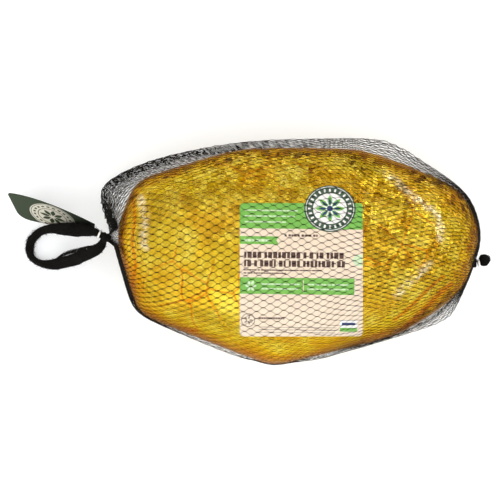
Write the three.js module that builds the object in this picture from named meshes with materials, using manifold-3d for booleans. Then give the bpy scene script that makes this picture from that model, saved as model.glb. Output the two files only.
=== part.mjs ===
// A whole spiral-cut ham as it is sold: wrapped in gold foil, labelled, and held in a knitted net
// that is tied off with a metal clip at each end. One end of the net is turned back into a carrying
// loop with a card tag; the other end is a short cut tail. The ham lies on its side, label up.
//
// Millimetres, +Z up. +X runs along the ham towards the cut tail, +Y towards the side where the net
// is loose. The origin is the middle of the flat patch that the ham rests on.

import * as THREE from "three";
import { mergeVertices } from "three/addons/utils/BufferGeometryUtils.js";
import Module from "manifold-3d";

const wasm = await Module();
wasm.setup();

// ---------------------------------------------------------------- driving dimensions

// Outlines seen from above. Each flat is [the way it faces in degrees, its distance from the
// middle]; the roundness is high where the corners between the flats are tight.
const FOIL_OUTLINE = {
  roundness: 26,
  flats: [
    [28.9, 139.7],
    [68.1, 96.8],
    [89.7, 82.7],
    [108.2, 92.2],
    [159, 136.4],
    [196.9, 130.7],
    [248.6, 90],
    [283.9, 83.8],
    [304.2, 102.2],
    [343.3, 138.3],
  ],
};
const NET_OUTLINE = {
  roundness: 24.5,
  flats: [
    [16.9, 147.1],
    [56.8, 115.2],
    [90.6, 88.8],
    [102.5, 95.3],
    [122.1, 124.8],
    [196.3, 133.4],
    [246.8, 93.5],
    [268.3, 87.7],
    [286.8, 87.3],
    [336.6, 134.9],
  ],
};
const LEAST_REACH = 1.004; // the net never lies closer to the middle than this share of the foil

// Heights. The girth is the level where the ham is widest and where the loose net stands out.
const GIRTH_LEVEL = 58;
const CROWN_HEIGHT = 75; // above the girth
const KEEL_DEPTH = 62; // below the girth, before the ham settles flat on what carries it

// How square the upright sections are: 2 is an ellipse, more is boxier.
const SECTION_SQUARENESS = 2.5;
const FRONT_SQUARENESS = 0.45; // added towards -Y, taken off towards +Y
const CUT_FACE_SQUARENESS = 1.8; // added round the flat cut face at -X
const CUT_FACE_FOCUS = 6; // how closely that squareness keeps to the cut face

const BUTT_TAPER = 0.2; // share of the height lost at the cut face
const SHANK_TAPER = 0.12; // share of the height lost at the round end
const HALF_LENGTH = 145;
const CROWN_LEAN = 0.14; // the crown is higher on the -Y side by this share
const HALF_WIDTH = 88;

// Where the net is tied off, and how far the loose net is drawn down to each tie.
const LEFT_TIE = new THREE.Vector3(-147.4, 11.6, 38);
const RIGHT_TIE = new THREE.Vector3(144.3, -8.8, 40);
const TIE_SPREAD = 0.36; // radians round the ham over which a tie draws the net
const NECK = {
  stop: 3.4, // how far it stops short of its tie
  radius: 4.4,
  waistAt: 3,
  waistRadius: 5.1,
  rootAt: 12,
  rootRadius: 9,
};

// Crumpled foil that shows through the net, and how finely the bag's skin is divided.
const CRUMPLE_DEPTH = 2.4;
const CRUMPLE_CELL = 25;
const CRUMPLE_STEEPNESS = 1.6; // how soon a dent reaches its full depth beside a ridge
const CRUMPLE_FADE = 14; // width over which crumples die out towards the label, base and ties
const CRUMPLE_FLOOR = 4; // no crumples below this level, where the ham rests
const SKIN_ROUND = 72;
const SKIN_ALONG = 50;

const LABEL = {
  left: -41.5,
  right: 54,
  back: 38,
  front: -65.5,
  corner: 3,
  sealX: 28.5,
  sealY: 33.7,
  sealAcross: 19.8, // half its width along the ham
  sealUp: 18, // half its width over the ham's shoulder, seen from above
  thickness: 0.9,
};
const FIT_GAP = 0.3; // clearance between neighbouring pieces
const MERGE_DISTANCE = 1e-4; // corners closer than this are one corner

// The carrying loop: a flattened bundle of net, [x, y, z, width, thickness] along its middle.
const LOOP_STATIONS = [
  [-147.6, 12.4, 38, 5, 5],
  [-152.7, 14.6, 37.7, 5, 5],
  [-155, 15.6, 37.5, 6.4, 5],
  [-160.3, 16.9, 35.6, 9.6, 5],
  [-169.7, 17.6, 31, 11.6, 5],
  [-180.5, 17.9, 21, 9.4, 5],
  [-187.4, 18.4, 14.6, 7.6, 5],
  [-193.1, 17.6, 9.6, 6.6, 5.4],
  [-198.5, 15.4, 6.2, 6.2, 6],
  [-202.4, 12.1, 4.4, 6.6, 6],
  [-205.1, 8.3, 3.6, 6.7, 6],
  [-206.1, 3.8, 3.4, 6.6, 6],
  [-206, -0.4, 3.5, 5.8, 6.2],
  [-204.3, -4.4, 3.9, 4.8, 6.8],
  [-200.6, -7.6, 4.6, 4.6, 7.2],
  [-193.8, -9.6, 6.4, 6.4, 6.4],
  [-184.9, -9.8, 10.4, 8, 5.4],
  [-177.2, -7.6, 15.6, 9.8, 5],
  [-169.3, -5.3, 21.4, 10, 5],
  [-158.7, -1, 29.4, 9, 5],
  [-153.7, 1.6, 33, 8.4, 5],
  [-149.6, 5.2, 35.8, 7, 5],
  [-147.8, 9.6, 37.6, 5, 4.8],
];
const LOOP_STEPS = 66;
const LOOP_SIDES = 10;

// The gathered knot of net between the left neck and the loop, flattened along the ham.
const KNOT = { radius: 4.6, flatness: 0.55, centre: new THREE.Vector3(-147.2, 11.2, 38) };

// The two crimped metal clips.
const CLIP = { strip: 1.6, wall: 0.8, corner: 1.6 };
const LEFT_CLIP_REACH = 3.9; // along the loop from its start
const RIGHT_CLIP_INSIDE = 4.6;
const RIGHT_CLIP_RISE = 12; // degrees by which it faces up the plan

// The card tag hangs from its root beside the loop, leaning. Its top edge bows up towards a crest,
// and its low corner, the heel, is near the tip. Both are given along the card and off its top line.
const TAG = {
  tip: new THREE.Vector3(-223.2, 46.6, 31.3),
  root: new THREE.Vector3(-154.6, 21.9, 38.5),
  rootWidth: 17,
  crestAlong: 29,
  crestRise: 12.8, // the edge itself rises half as high
  heelAlong: 12.7,
  heelDrop: 36.4,
  heelRound: 11.5,
  tipRound: 3.6,
  thickness: 0.6,
  leanDegrees: 65,
};

// The cut tail of the net beyond the right-hand clip: tight in the clip, then a swollen tuft. The
// swell pairs shares of the length with shares of the greatest radius.
const TAIL = {
  length: 11.4,
  rootRadius: 1.9,
  greatestRadius: 5.3,
  riseDegrees: 25,
  tightShare: 0.19,
  swell: [
    [0.34, 0.76],
    [0.52, 0.98],
    [0.7, 1],
    [0.9, 0.82],
    [1, 0.5],
  ],
  dimpleShare: 0.96,
};
const TAIL_DROP = 7; // degrees by which the clip and the tail point down towards the ground

// The ground that the ham has settled on, as a block to cut with.
const GROUND = { across: 600, depth: 100 };

// ---------------------------------------------------------------- solids and meshes

// A closed geometry as a manifold solid.
function toSolid(geometry) {
  const bare = new THREE.BufferGeometry();
  bare.setAttribute("position", geometry.getAttribute("position"));
  if (geometry.index) bare.setIndex(geometry.index);
  const merged = mergeVertices(bare, MERGE_DISTANCE);
  return new wasm.Manifold(
    new wasm.Mesh({
      numProp: 3,
      vertProperties: merged.attributes.position.array,
      triVerts: new Uint32Array(merged.index.array),
    }),
  );
}

// A manifold solid as a geometry that three.js can draw.
function toGeometry(solid) {
  const mesh = solid.getMesh();
  const geometry = new THREE.BufferGeometry();
  geometry.setAttribute("position", new THREE.BufferAttribute(mesh.vertProperties, 3));
  geometry.setIndex(new THREE.BufferAttribute(mesh.triVerts, 1));
  const flat = geometry.toNonIndexed();
  flat.computeVertexNormals();
  return flat;
}

function namedMesh(name, geometry, colour, roughness, metalness) {
  const material = new THREE.MeshStandardMaterial({ color: colour, roughness, metalness });
  const mesh = new THREE.Mesh(geometry, material);
  mesh.name = name;
  return mesh;
}

// ---------------------------------------------------------------- the ham's form

// The distance from the middle to an outline in one direction: the flats joined by round corners.
function outlineRadius(outline, angle) {
  let sum = 0;
  for (const [facing, distance] of outline.flats) {
    const share = Math.cos(angle - THREE.MathUtils.degToRad(facing)) / distance;
    sum += Math.max(0, share) ** outline.roundness;
  }
  return sum ** (-1 / outline.roundness);
}

function sectionSquareness(angle) {
  const towardsCutFace = Math.max(0, -Math.cos(angle)) ** CUT_FACE_FOCUS;
  return SECTION_SQUARENESS - FRONT_SQUARENESS * Math.sin(angle) + CUT_FACE_SQUARENESS * towardsCutFace;
}

// How much of the full height is left at a place on the plan.
function heightShare(x, y, aboveGirth) {
  const taper = x < 0 ? BUTT_TAPER : SHANK_TAPER;
  const lean = aboveGirth ? CROWN_LEAN : 0;
  return (1 - taper * (x / HALF_LENGTH) ** 2) * (1 - (lean * y) / HALF_WIDTH);
}

function angleBetween(a, b) {
  return Math.atan2(Math.sin(a - b), Math.cos(a - b));
}

// How far the loose net is drawn down towards the ties, at one angle round the ham.
function tieDraw(angle) {
  let draw = 0;
  for (const tie of [LEFT_TIE, RIGHT_TIE]) {
    const off = angleBetween(angle, Math.atan2(tie.y, tie.x)) / TIE_SPREAD;
    draw += (GIRTH_LEVEL - tie.z) * Math.exp(-off * off);
  }
  return draw;
}

// The point of the taut net in a direction from the middle of the girth. In each upright section
// the ham is a superellipse, and the net runs straight from its outline to where it touches it.
function netPoint(direction, sink) {
  const angle = Math.atan2(direction.y, direction.x);
  const foilRadius = outlineRadius(FOIL_OUTLINE, angle);
  const reach = Math.max(outlineRadius(NET_OUTLINE, angle) / foilRadius, LEAST_REACH);
  const height = direction.z > 0 ? CROWN_HEIGHT : KEEL_DEPTH;
  const out = Math.hypot(direction.x, direction.y) / foilRadius;
  const up = Math.abs(direction.z) / height;
  const power = sectionSquareness(angle);

  const touchOut = reach ** (-1 / (power - 1));
  const touchUp = (1 - touchOut ** power) ** (1 / power);
  const free = up * touchOut < touchUp * out;
  const scale = free
    ? reach / (out + (up * (reach - touchOut)) / touchUp)
    : (out ** power + up ** power) ** (-1 / power);

  const point = direction.clone().multiplyScalar(scale - sink);
  const girthShare = 1 - Math.min(1, Math.abs(point.z) / height);
  point.z *= heightShare(point.x, point.y, direction.z > 0);
  point.z += GIRTH_LEVEL - tieDraw(angle) * girthShare ** 2 * (point.length() / foilRadius) ** 4;
  return point;
}

// A repeatable number from 0 to 1 for a cell of space and a channel.
function cellNoise(i, j, k, channel) {
  const mixed = Math.sin(i * 127.1 + j * 311.7 + k * 74.7 + channel * 53.3) * 43758.5453;
  return mixed - Math.floor(mixed);
}

// Crumpled foil: shallow dents between sharp ridges, from 0 on a ridge to 1 in the deepest dent.
function crumple(point) {
  const place = [point.x, point.y, point.z].map((value) => value / CRUMPLE_CELL);
  const cell = place.map(Math.floor);
  let nearest = 9;
  let second = 9;
  for (let i = -1; i <= 1; i++)
    for (let j = -1; j <= 1; j++)
      for (let k = -1; k <= 1; k++) {
        const home = [cell[0] + i, cell[1] + j, cell[2] + k];
        const distance = Math.hypot(
          home[0] + cellNoise(...home, 1) - place[0],
          home[1] + cellNoise(...home, 2) - place[1],
          home[2] + cellNoise(...home, 3) - place[2],
        );
        second = Math.min(second, Math.max(distance, nearest));
        nearest = Math.min(nearest, distance);
      }
  return Math.min(1, (second - nearest) * CRUMPLE_STEEPNESS);
}

// 1 where the foil is bare and free to crumple, fading to 0 at the label, the base and the ties.
function bareFoilShare(point) {
  const fade = CRUMPLE_FADE;
  const clearOfLabel = Math.max(
    LABEL.left - point.x,
    point.x - LABEL.right,
    LABEL.front - point.y,
    point.y - LABEL.sealY - LABEL.sealUp,
  );
  const labelShare = point.z > GIRTH_LEVEL ? THREE.MathUtils.smoothstep(clearOfLabel, 0, fade) : 1;
  const baseShare = THREE.MathUtils.smoothstep(point.z, CRUMPLE_FLOOR, CRUMPLE_FLOOR + fade);
  const tieShare = [LEFT_TIE, RIGHT_TIE].map((tie) =>
    THREE.MathUtils.smoothstep(point.distanceTo(tie), fade, 3 * fade),
  );
  return labelShare * baseShare * Math.min(...tieShare);
}

// The ham in its net as a closed skin, sunk evenly or crumpled, with its poles at the two ends.
function hamSkin(sink, crumpled) {
  const skin = new THREE.SphereGeometry(1, SKIN_ROUND, SKIN_ALONG).rotateZ(Math.PI / 2);
  const places = skin.getAttribute("position");
  for (let i = 0; i < places.count; i++) {
    const direction = new THREE.Vector3().fromBufferAttribute(places, i).normalize();
    let point = netPoint(direction, sink);
    if (crumpled) {
      const depth = CRUMPLE_DEPTH * crumple(point) * bareFoilShare(point);
      point = netPoint(direction, sink + depth);
    }
    places.setXYZ(i, point.x, point.y, point.z);
  }
  return toSolid(skin);
}

// A straight prism over a plan outline, tall enough to pass right through the ham's upper side.
function planPrism(shape, curveSegments) {
  const depth = 2 * CROWN_HEIGHT;
  const prism = new THREE.ExtrudeGeometry(shape, { depth, bevelEnabled: false, curveSegments });
  return toSolid(prism.translate(0, 0, GIRTH_LEVEL));
}

// The label seen from above: a round-cornered rectangle, grown all round by a margin.
function labelShape(margin) {
  const shape = new THREE.Shape();
  const [left, right] = [LABEL.left - margin, LABEL.right + margin];
  const [front, back] = [LABEL.front - margin, LABEL.back + margin];
  const corner = LABEL.corner + margin;
  shape.moveTo(left + corner, front);
  shape.absarc(right - corner, front + corner, corner, -Math.PI / 2, 0, false);
  shape.absarc(right - corner, back - corner, corner, 0, Math.PI / 2, false);
  shape.absarc(left + corner, back - corner, corner, Math.PI / 2, Math.PI, false);
  shape.absarc(left + corner, front + corner, corner, Math.PI, (3 * Math.PI) / 2, false);
  return shape;
}

function sealShape(margin) {
  const shape = new THREE.Shape();
  const [across, up] = [LABEL.sealAcross + margin, LABEL.sealUp + margin];
  shape.absellipse(LABEL.sealX, LABEL.sealY, across, up, 0, 2 * Math.PI, false);
  return shape;
}

// The label with the round seal that stands over its back edge, as one upright prism.
function labelPrism(margin) {
  return planPrism(labelShape(margin), 3).add(planPrism(sealShape(margin), 30));
}

// A gathered neck of net: a cone from inside the bag to just short of its tie.
function neck(tie) {
  const inwards = new THREE.Vector3(-tie.x, -tie.y, 0).normalize();
  const profile = [
    new THREE.Vector2(0, 0),
    new THREE.Vector2(NECK.radius, 0),
    new THREE.Vector2(NECK.waistRadius, NECK.waistAt),
    new THREE.Vector2(NECK.rootRadius, NECK.rootAt),
    new THREE.Vector2(0, NECK.rootAt),
  ];
  const cone = new THREE.LatheGeometry(profile, 16);
  const turn = new THREE.Quaternion().setFromUnitVectors(new THREE.Vector3(0, 1, 0), inwards);
  cone.applyQuaternion(turn);
  const start = tie.clone().addScaledVector(inwards, NECK.stop);
  return toSolid(cone.translate(start.x, start.y, start.z));
}

function nettedHam() {
  const recess = labelPrism(FIT_GAP).subtract(hamSkin(LABEL.thickness + FIT_GAP, false));
  const block = new THREE.BoxGeometry(GROUND.across, GROUND.across, GROUND.depth);
  const ground = toSolid(block.translate(0, 0, -GROUND.depth / 2));
  const solid = hamSkin(0, true)
    .subtract(recess)
    .add(neck(LEFT_TIE))
    .add(neck(RIGHT_TIE))
    .subtract(ground);
  return namedMesh("netted_ham", toGeometry(solid), "#b98a1e", 0.35, 0.6);
}

function label() {
  const solid = labelPrism(0).intersect(hamSkin(0, false)).subtract(hamSkin(LABEL.thickness, false));
  return namedMesh("label", toGeometry(solid), "#f1e4d0", 0.6, 0);
}

// ---------------------------------------------------------------- the carrying loop

// A closed bar along a curve: at each step an ellipse that lies across the curve and level.
function sweptBar(curve, widthAt, thicknessAt, steps, sides) {
  const positions = [];
  const up = new THREE.Vector3(0, 0, 1);
  const middles = [];
  for (let i = 0; i <= steps; i++) {
    const share = i / steps;
    const middle = curve.getPoint(share);
    const along = curve.getTangent(share);
    const across = new THREE.Vector3().crossVectors(up, along).normalize();
    const over = new THREE.Vector3().crossVectors(along, across).normalize();
    middles.push(middle);
    for (let j = 0; j < sides; j++) {
      const turn = (2 * Math.PI * j) / sides;
      const point = middle
        .clone()
        .addScaledVector(across, (widthAt(share) / 2) * Math.cos(turn))
        .addScaledVector(over, (thicknessAt(share) / 2) * Math.sin(turn));
      positions.push(...point.toArray());
    }
  }
  const index = [];
  for (let i = 0; i < steps; i++)
    for (let j = 0; j < sides; j++) {
      const [a, b] = [i * sides + j, i * sides + ((j + 1) % sides)];
      index.push(a, b, a + sides, b, b + sides, a + sides);
    }
  for (const [ring, order] of [
    [0, -1],
    [steps, 1],
  ]) {
    const centre = positions.length / 3;
    positions.push(...middles[ring].toArray());
    for (let j = 0; j < sides; j++) {
      const [a, b] = [ring * sides + j, ring * sides + ((j + 1) % sides)];
      index.push(...(order > 0 ? [a, b, centre] : [b, a, centre]));
    }
  }
  const bar = new THREE.BufferGeometry();
  bar.setAttribute("position", new THREE.Float32BufferAttribute(positions, 3));
  bar.setIndex(index);
  return bar;
}

const loopCurve = new THREE.CatmullRomCurve3(
  LOOP_STATIONS.map(([x, y, z]) => new THREE.Vector3(x, y, z)),
  false,
  "centripetal",
);

// A size listed at the loop's stations, read smoothly at a share of its length.
function loopSize(column) {
  return (share) => {
    const place = share * (LOOP_STATIONS.length - 1);
    const before = Math.min(Math.floor(place), LOOP_STATIONS.length - 2);
    const [from, to] = [LOOP_STATIONS[before][column], LOOP_STATIONS[before + 1][column]];
    return THREE.MathUtils.lerp(from, to, place - before);
  };
}

function carryingLoop() {
  const bar = toSolid(sweptBar(loopCurve, loopSize(3), loopSize(4), LOOP_STEPS, LOOP_SIDES));
  const knot = new THREE.SphereGeometry(KNOT.radius, 14, 10).scale(KNOT.flatness, 1, 1);
  const tied = toSolid(knot.translate(...KNOT.centre.toArray()));
  return namedMesh("carrying_loop", toGeometry(bar.add(tied)), "#141414", 0.75, 0);
}

// ---------------------------------------------------------------- clips, tag and tail

// A strip bent into a closed, round-cornered ring, lying in the XY plane about the origin.
function clipRing(insideWidth, insideHeight) {
  const ringPath = (path, width, height, corner) => {
    const [x, y] = [width / 2 - corner, height / 2 - corner];
    path.moveTo(-x, -y - corner);
    path.absarc(x, -y, corner, -Math.PI / 2, 0, false);
    path.absarc(x, y, corner, 0, Math.PI / 2, false);
    path.absarc(-x, y, corner, Math.PI / 2, Math.PI, false);
    path.absarc(-x, -y, corner, Math.PI, (3 * Math.PI) / 2, false);
    return path;
  };
  const outer = ringPath(
    new THREE.Shape(),
    insideWidth + 2 * CLIP.wall,
    insideHeight + 2 * CLIP.wall,
    CLIP.corner + CLIP.wall,
  );
  outer.holes.push(ringPath(new THREE.Path(), insideWidth, insideHeight, CLIP.corner));
  return new THREE.ExtrudeGeometry(outer, {
    depth: CLIP.strip,
    bevelEnabled: false,
    curveSegments: 6,
  }).translate(0, 0, -CLIP.strip / 2);
}

// Turns a geometry made about the origin so that its Z runs along a direction, and places it.
function setAlong(geometry, place, along) {
  const up = new THREE.Vector3(0, 0, 1);
  const across = new THREE.Vector3().crossVectors(up, along).normalize();
  const over = new THREE.Vector3().crossVectors(along, across).normalize();
  const turn = new THREE.Matrix4().makeBasis(across, over, along.clone().normalize());
  return geometry.applyMatrix4(turn.setPosition(place));
}

function leftClip() {
  const along = loopCurve.getTangent(0);
  const place = loopCurve.getPoint(0).addScaledVector(along, LEFT_CLIP_REACH);
  const [width, height] = [loopSize(3)(0) + 2 * FIT_GAP, loopSize(4)(0) + 2 * FIT_GAP];
  const ring = setAlong(clipRing(width, height), place, along);
  return namedMesh("left_clip", ring, "#c9c9c4", 0.3, 0.9);
}

// The way out of the right-hand tie: up the plan by a rise, and a little down towards the ground.
function outOfTie(riseDegrees) {
  const rise = THREE.MathUtils.degToRad(riseDegrees);
  const drop = THREE.MathUtils.degToRad(TAIL_DROP);
  return new THREE.Vector3(Math.cos(rise), Math.sin(rise), -Math.tan(drop)).normalize();
}

function rightClip() {
  const inside = RIGHT_CLIP_INSIDE;
  const along = outOfTie(RIGHT_CLIP_RISE);
  const place = RIGHT_TIE.clone().addScaledVector(along, CLIP.strip / 2);
  const ring = setAlong(clipRing(inside, inside), place, along);
  return namedMesh("right_clip", ring, "#c9c9c4", 0.3, 0.9);
}

// The tail is tight inside the clip and spreads to a ragged tuft.
function cutTail() {
  const { length, rootRadius, greatestRadius, tightShare, dimpleShare } = TAIL;
  const profile = [
    new THREE.Vector2(0, 0),
    new THREE.Vector2(rootRadius, 0),
    new THREE.Vector2(rootRadius, tightShare * length),
    ...TAIL.swell.map(([along, out]) => new THREE.Vector2(out * greatestRadius, along * length)),
    new THREE.Vector2(0, dimpleShare * length),
  ];
  const tuft = new THREE.LatheGeometry(profile, 18).rotateX(Math.PI / 2);
  const placed = setAlong(tuft, RIGHT_TIE, outOfTie(TAIL.riseDegrees));
  return namedMesh("cut_tail", placed, "#141414", 0.75, 0);
}

// Draws a shape on to a corner and round it, leaving and meeting its two sides a size away.
function roundCorner(shape, before, corner, after, size) {
  const start = before.clone().sub(corner).setLength(size).add(corner);
  const end = after.clone().sub(corner).setLength(size).add(corner);
  shape.lineTo(start.x, start.y);
  shape.quadraticCurveTo(corner.x, corner.y, end.x, end.y);
}

// The card's outline in its own plane: X runs from the tip to the root, and Y across it, upwards.
function tagShape(length) {
  const tip = new THREE.Vector2(0, 0);
  const foot = new THREE.Vector2(length, -TAG.rootWidth);
  const heel = new THREE.Vector2(TAG.heelAlong, -TAG.heelDrop);
  const crest = new THREE.Vector2(TAG.crestAlong, TAG.crestRise);
  const shape = new THREE.Shape();
  shape.moveTo(length, 0);
  shape.lineTo(foot.x, foot.y);
  roundCorner(shape, foot, heel, tip, TAG.heelRound);
  roundCorner(shape, heel, tip, crest, TAG.tipRound);
  shape.quadraticCurveTo(crest.x, crest.y, length, 0);
  return shape;
}

function tag() {
  const along = new THREE.Vector3().subVectors(TAG.root, TAG.tip);
  const length = along.length();
  along.normalize();
  const lean = THREE.MathUtils.degToRad(TAG.leanDegrees);
  const level = new THREE.Vector3().crossVectors(new THREE.Vector3(0, 0, 1), along).normalize();
  const upright = new THREE.Vector3().crossVectors(along, level).normalize();
  const across = level.multiplyScalar(Math.cos(lean)).addScaledVector(upright, Math.sin(lean));
  const face = new THREE.Vector3().crossVectors(along, across);

  const card = new THREE.ExtrudeGeometry(tagShape(length), {
    depth: TAG.thickness,
    bevelEnabled: false,
    curveSegments: 8,
  });
  card.applyMatrix4(new THREE.Matrix4().makeBasis(along, across, face).setPosition(TAG.tip));
  return namedMesh("tag", card, "#3c5233", 0.6, 0);
}

// ---------------------------------------------------------------- the whole part

const spiralHam = new THREE.Group();
spiralHam.add(
  nettedHam(),
  label(),
  carryingLoop(),
  leftClip(),
  tag(),
  rightClip(),
  cutTail(),
);

export default spiralHam;
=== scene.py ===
# %% [markdown]
# # A ham in gold foil and a knitted net
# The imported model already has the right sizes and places: one solid for the ham inside its net,
# a label, a carrying loop, a tag, two clips and a cut tail. This lesson dresses it. The solid of
# the ham is replaced by crumpled foil and by a real net of yarn round it, because a net drawn on a
# surface looks painted, while strands of yarn catch the light and throw shadows on the foil.

import bpy
import numpy as np
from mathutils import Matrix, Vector
from mathutils.geometry import delaunay_2d_cdt


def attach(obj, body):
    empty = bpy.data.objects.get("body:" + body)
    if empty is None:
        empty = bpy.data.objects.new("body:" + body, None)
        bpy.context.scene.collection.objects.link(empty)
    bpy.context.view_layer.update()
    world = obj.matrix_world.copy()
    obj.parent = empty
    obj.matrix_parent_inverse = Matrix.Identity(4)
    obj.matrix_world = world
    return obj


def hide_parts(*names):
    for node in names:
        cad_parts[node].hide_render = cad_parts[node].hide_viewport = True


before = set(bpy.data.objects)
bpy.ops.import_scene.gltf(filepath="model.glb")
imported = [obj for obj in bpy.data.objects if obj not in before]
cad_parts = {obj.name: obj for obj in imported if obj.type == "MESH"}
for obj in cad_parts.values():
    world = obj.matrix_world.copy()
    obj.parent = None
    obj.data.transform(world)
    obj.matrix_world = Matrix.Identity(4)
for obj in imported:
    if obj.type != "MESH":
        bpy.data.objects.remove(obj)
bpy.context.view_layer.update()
MM = 0.001
print("nodes", sorted(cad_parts))

# %% [markdown]
# ## Meshes from whole arrays
# Every surface here is worked out with numpy: points on a grid, or a ring carried along a path.
# A few helpers put such arrays into a mesh. The first takes any corner lists, and another turns
# many paths at once into closed tubes, which is what yarn, wire and string are made from.

# %% Mesh helpers


def new_piece(name, points, faces, materials, face_slots=None):
    """A mesh object from points (n, 3) and faces, a list of equal-sided index arrays (m, sides)."""
    corners = np.concatenate([face.reshape(-1) for face in faces])
    sides = np.concatenate([np.full(len(face), face.shape[1]) for face in faces])
    mesh = bpy.data.meshes.new(name)
    mesh.vertices.add(len(points))
    mesh.loops.add(len(corners))
    mesh.polygons.add(len(sides))
    mesh.vertices.foreach_set("co", np.ascontiguousarray(points, np.float32).reshape(-1))
    mesh.loops.foreach_set("vertex_index", corners.astype(np.int32))
    starts = np.concatenate([[0], np.cumsum(sides)[:-1]])
    mesh.polygons.foreach_set("loop_start", starts.astype(np.int32))
    mesh.update(calc_edges=True)
    for material in materials:
        mesh.materials.append(material)
    if face_slots is not None:
        mesh.polygons.foreach_set("material_index", face_slots.astype(np.int32))
    mesh.validate()
    mesh.shade_smooth()
    piece = bpy.data.objects.new(name, mesh)
    bpy.context.scene.collection.objects.link(piece)
    return piece


def belongs(piece, slot, *nodes):
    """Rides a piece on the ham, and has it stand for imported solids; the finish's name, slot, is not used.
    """
    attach(piece, "root")
    for node in nodes:
        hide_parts(node)
    print(piece.name, len(piece.data.polygons), "faces")


def unit(vectors):
    """Each vector divided by its length."""
    return vectors / np.maximum(np.linalg.norm(vectors, axis=-1, keepdims=True), 1e-12)


def axes_across(along):
    """The two directions across a path: the level one, and the one that rises from it."""
    level = unit(np.cross([0, 0, 1], along))
    return level, np.cross(along, level)


def polar_direction(polar, turn):
    """Directions at a polar angle from -X and a turn about the X axis."""
    out = np.sin(polar)
    return np.stack([-np.cos(polar) + 0 * turn, out * np.cos(turn), out * np.sin(turn)], -1)


def grid_faces(numbers):
    """Quads between the rows of a grid of point numbers, whose columns close round."""
    ahead = np.roll(numbers, -1, axis=-1)
    walls = np.stack([numbers[..., :-1, :], ahead[..., :-1, :], ahead[..., 1:, :], numbers[..., 1:, :]], -1)
    return walls.reshape(-1, 4)


def tube_arrays(paths, radii, outward, sides):
    """Closed tubes round many paths at once.

    paths is (tubes, rings, 3). Each ring is a circle in the plane across its path: the path's
    point + radius * (cos a * outward + sin a * sideways). A flat cap closes each end.
    """
    tubes, rings = paths.shape[:2]
    along = unit(np.gradient(paths, axis=1))
    over = unit(outward - (outward * along).sum(-1, keepdims=True) * along)
    sideways = np.cross(along, over)
    turn = np.arange(sides) * 2 * np.pi / sides
    circle = over[:, :, None] * np.cos(turn)[:, None] + sideways[:, :, None] * np.sin(turn)[:, None]
    points = paths[:, :, None] + circle * np.broadcast_to(radii, paths.shape[:2])[:, :, None, None]
    numbers = np.arange(tubes * rings * sides).reshape(tubes, rings, sides)
    return points.reshape(-1, 3), [grid_faces(numbers), numbers[:, 0, ::-1], numbers[:, -1]]


def joined(parts):
    """Several (points, faces) results as one, with the later faces renumbered."""
    offset, points, faces = 0, [], []
    for part_points, part_faces in parts:
        points.append(part_points)
        faces += [face + offset for face in part_faces]
        offset += len(part_points)
    return np.concatenate(points), faces


def repeatable(*numbers):
    """A number from 0 to 1 that looks random but is the same for the same inputs."""
    weights = (127.1, 311.7, 74.7, 53.3)
    mixed = np.sin(sum(number * weight for number, weight in zip(numbers, weights))) * 43758.5453
    return mixed - np.floor(mixed)


def smooth(low, high, value):
    """0 below low, 1 above high, and an S-shaped rise between."""
    share = np.clip((value - low) / (high - low), 0, 1)
    return share * share * (3 - 2 * share)


# %% [markdown]
# ## The form of the ham
# Seen from above, a wrapped ham is a rounded polygon: its outline is a few flats joined by round
# corners. One formula gives that from a short list of flats. Each upright section is a
# superellipse, which is an ellipse with fuller shoulders. The net is wider than the foil where it
# hangs loose, and from its rim it runs straight to where it touches the foil.

# %% Outlines and heights
FOIL_FLATS = [
    (28.9, 139.7), (68.1, 96.8), (89.7, 82.7), (108.2, 92.2), (159, 136.4),
    (196.9, 130.7), (248.6, 90), (283.9, 83.8), (304.2, 102.2), (343.3, 138.3),
]
FOIL_ROUNDNESS = 26
NET_FLATS = [
    (16.9, 147.1), (56.8, 115.2), (90.6, 88.8), (102.5, 95.3), (122.1, 124.8),
    (196.3, 133.4), (246.8, 93.5), (268.3, 87.7), (286.8, 87.3), (336.6, 134.9),
]
NET_ROUNDNESS = 24.5
LEAST_SLACK = 1.004
GIRTH_LEVEL, CROWN_HEIGHT, KEEL_DEPTH = 58 * MM, 75 * MM, 62 * MM
SECTION_SQUARENESS, FRONT_SQUARENESS = 2.5, 0.45
CUT_FACE_SQUARENESS, CUT_FACE_FOCUS = 1.8, 6
BUTT_TAPER, SHANK_TAPER, HALF_LENGTH = 0.2, 0.12, 145 * MM
CROWN_LEAN, HALF_WIDTH = 0.14, 88 * MM
LEFT_TIE = np.array([-147.4, 11.6, 38]) * MM
RIGHT_TIE = np.array([144.3, -8.8, 40]) * MM
TIE_SPREAD = 0.36
MIDDLE = np.array([0, 0, GIRTH_LEVEL])
BISECTIONS = 30


def outline_radius(flats, roundness, angle):
    """How far an outline is from the middle: (sum of (cos(angle - facing) / distance)^r)^(-1/r)."""
    facing, distance = np.array(flats, float).T
    share = np.cos(angle[..., None] - np.radians(facing)) / (distance * MM)
    peak = share.max(-1)
    return ((np.maximum(share / peak[..., None], 0) ** roundness).sum(-1)) ** (-1 / roundness) / peak


def tie_draw(angle):
    """How far down the ties draw the net: a bell curve of the angle round each tie."""
    draw = 0
    for tie in (LEFT_TIE, RIGHT_TIE):
        off = angle - np.arctan2(tie[1], tie[0])
        off = np.arctan2(np.sin(off), np.cos(off)) / TIE_SPREAD
        draw = draw + (GIRTH_LEVEL - tie[2]) * np.exp(-off * off)
    return draw


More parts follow.
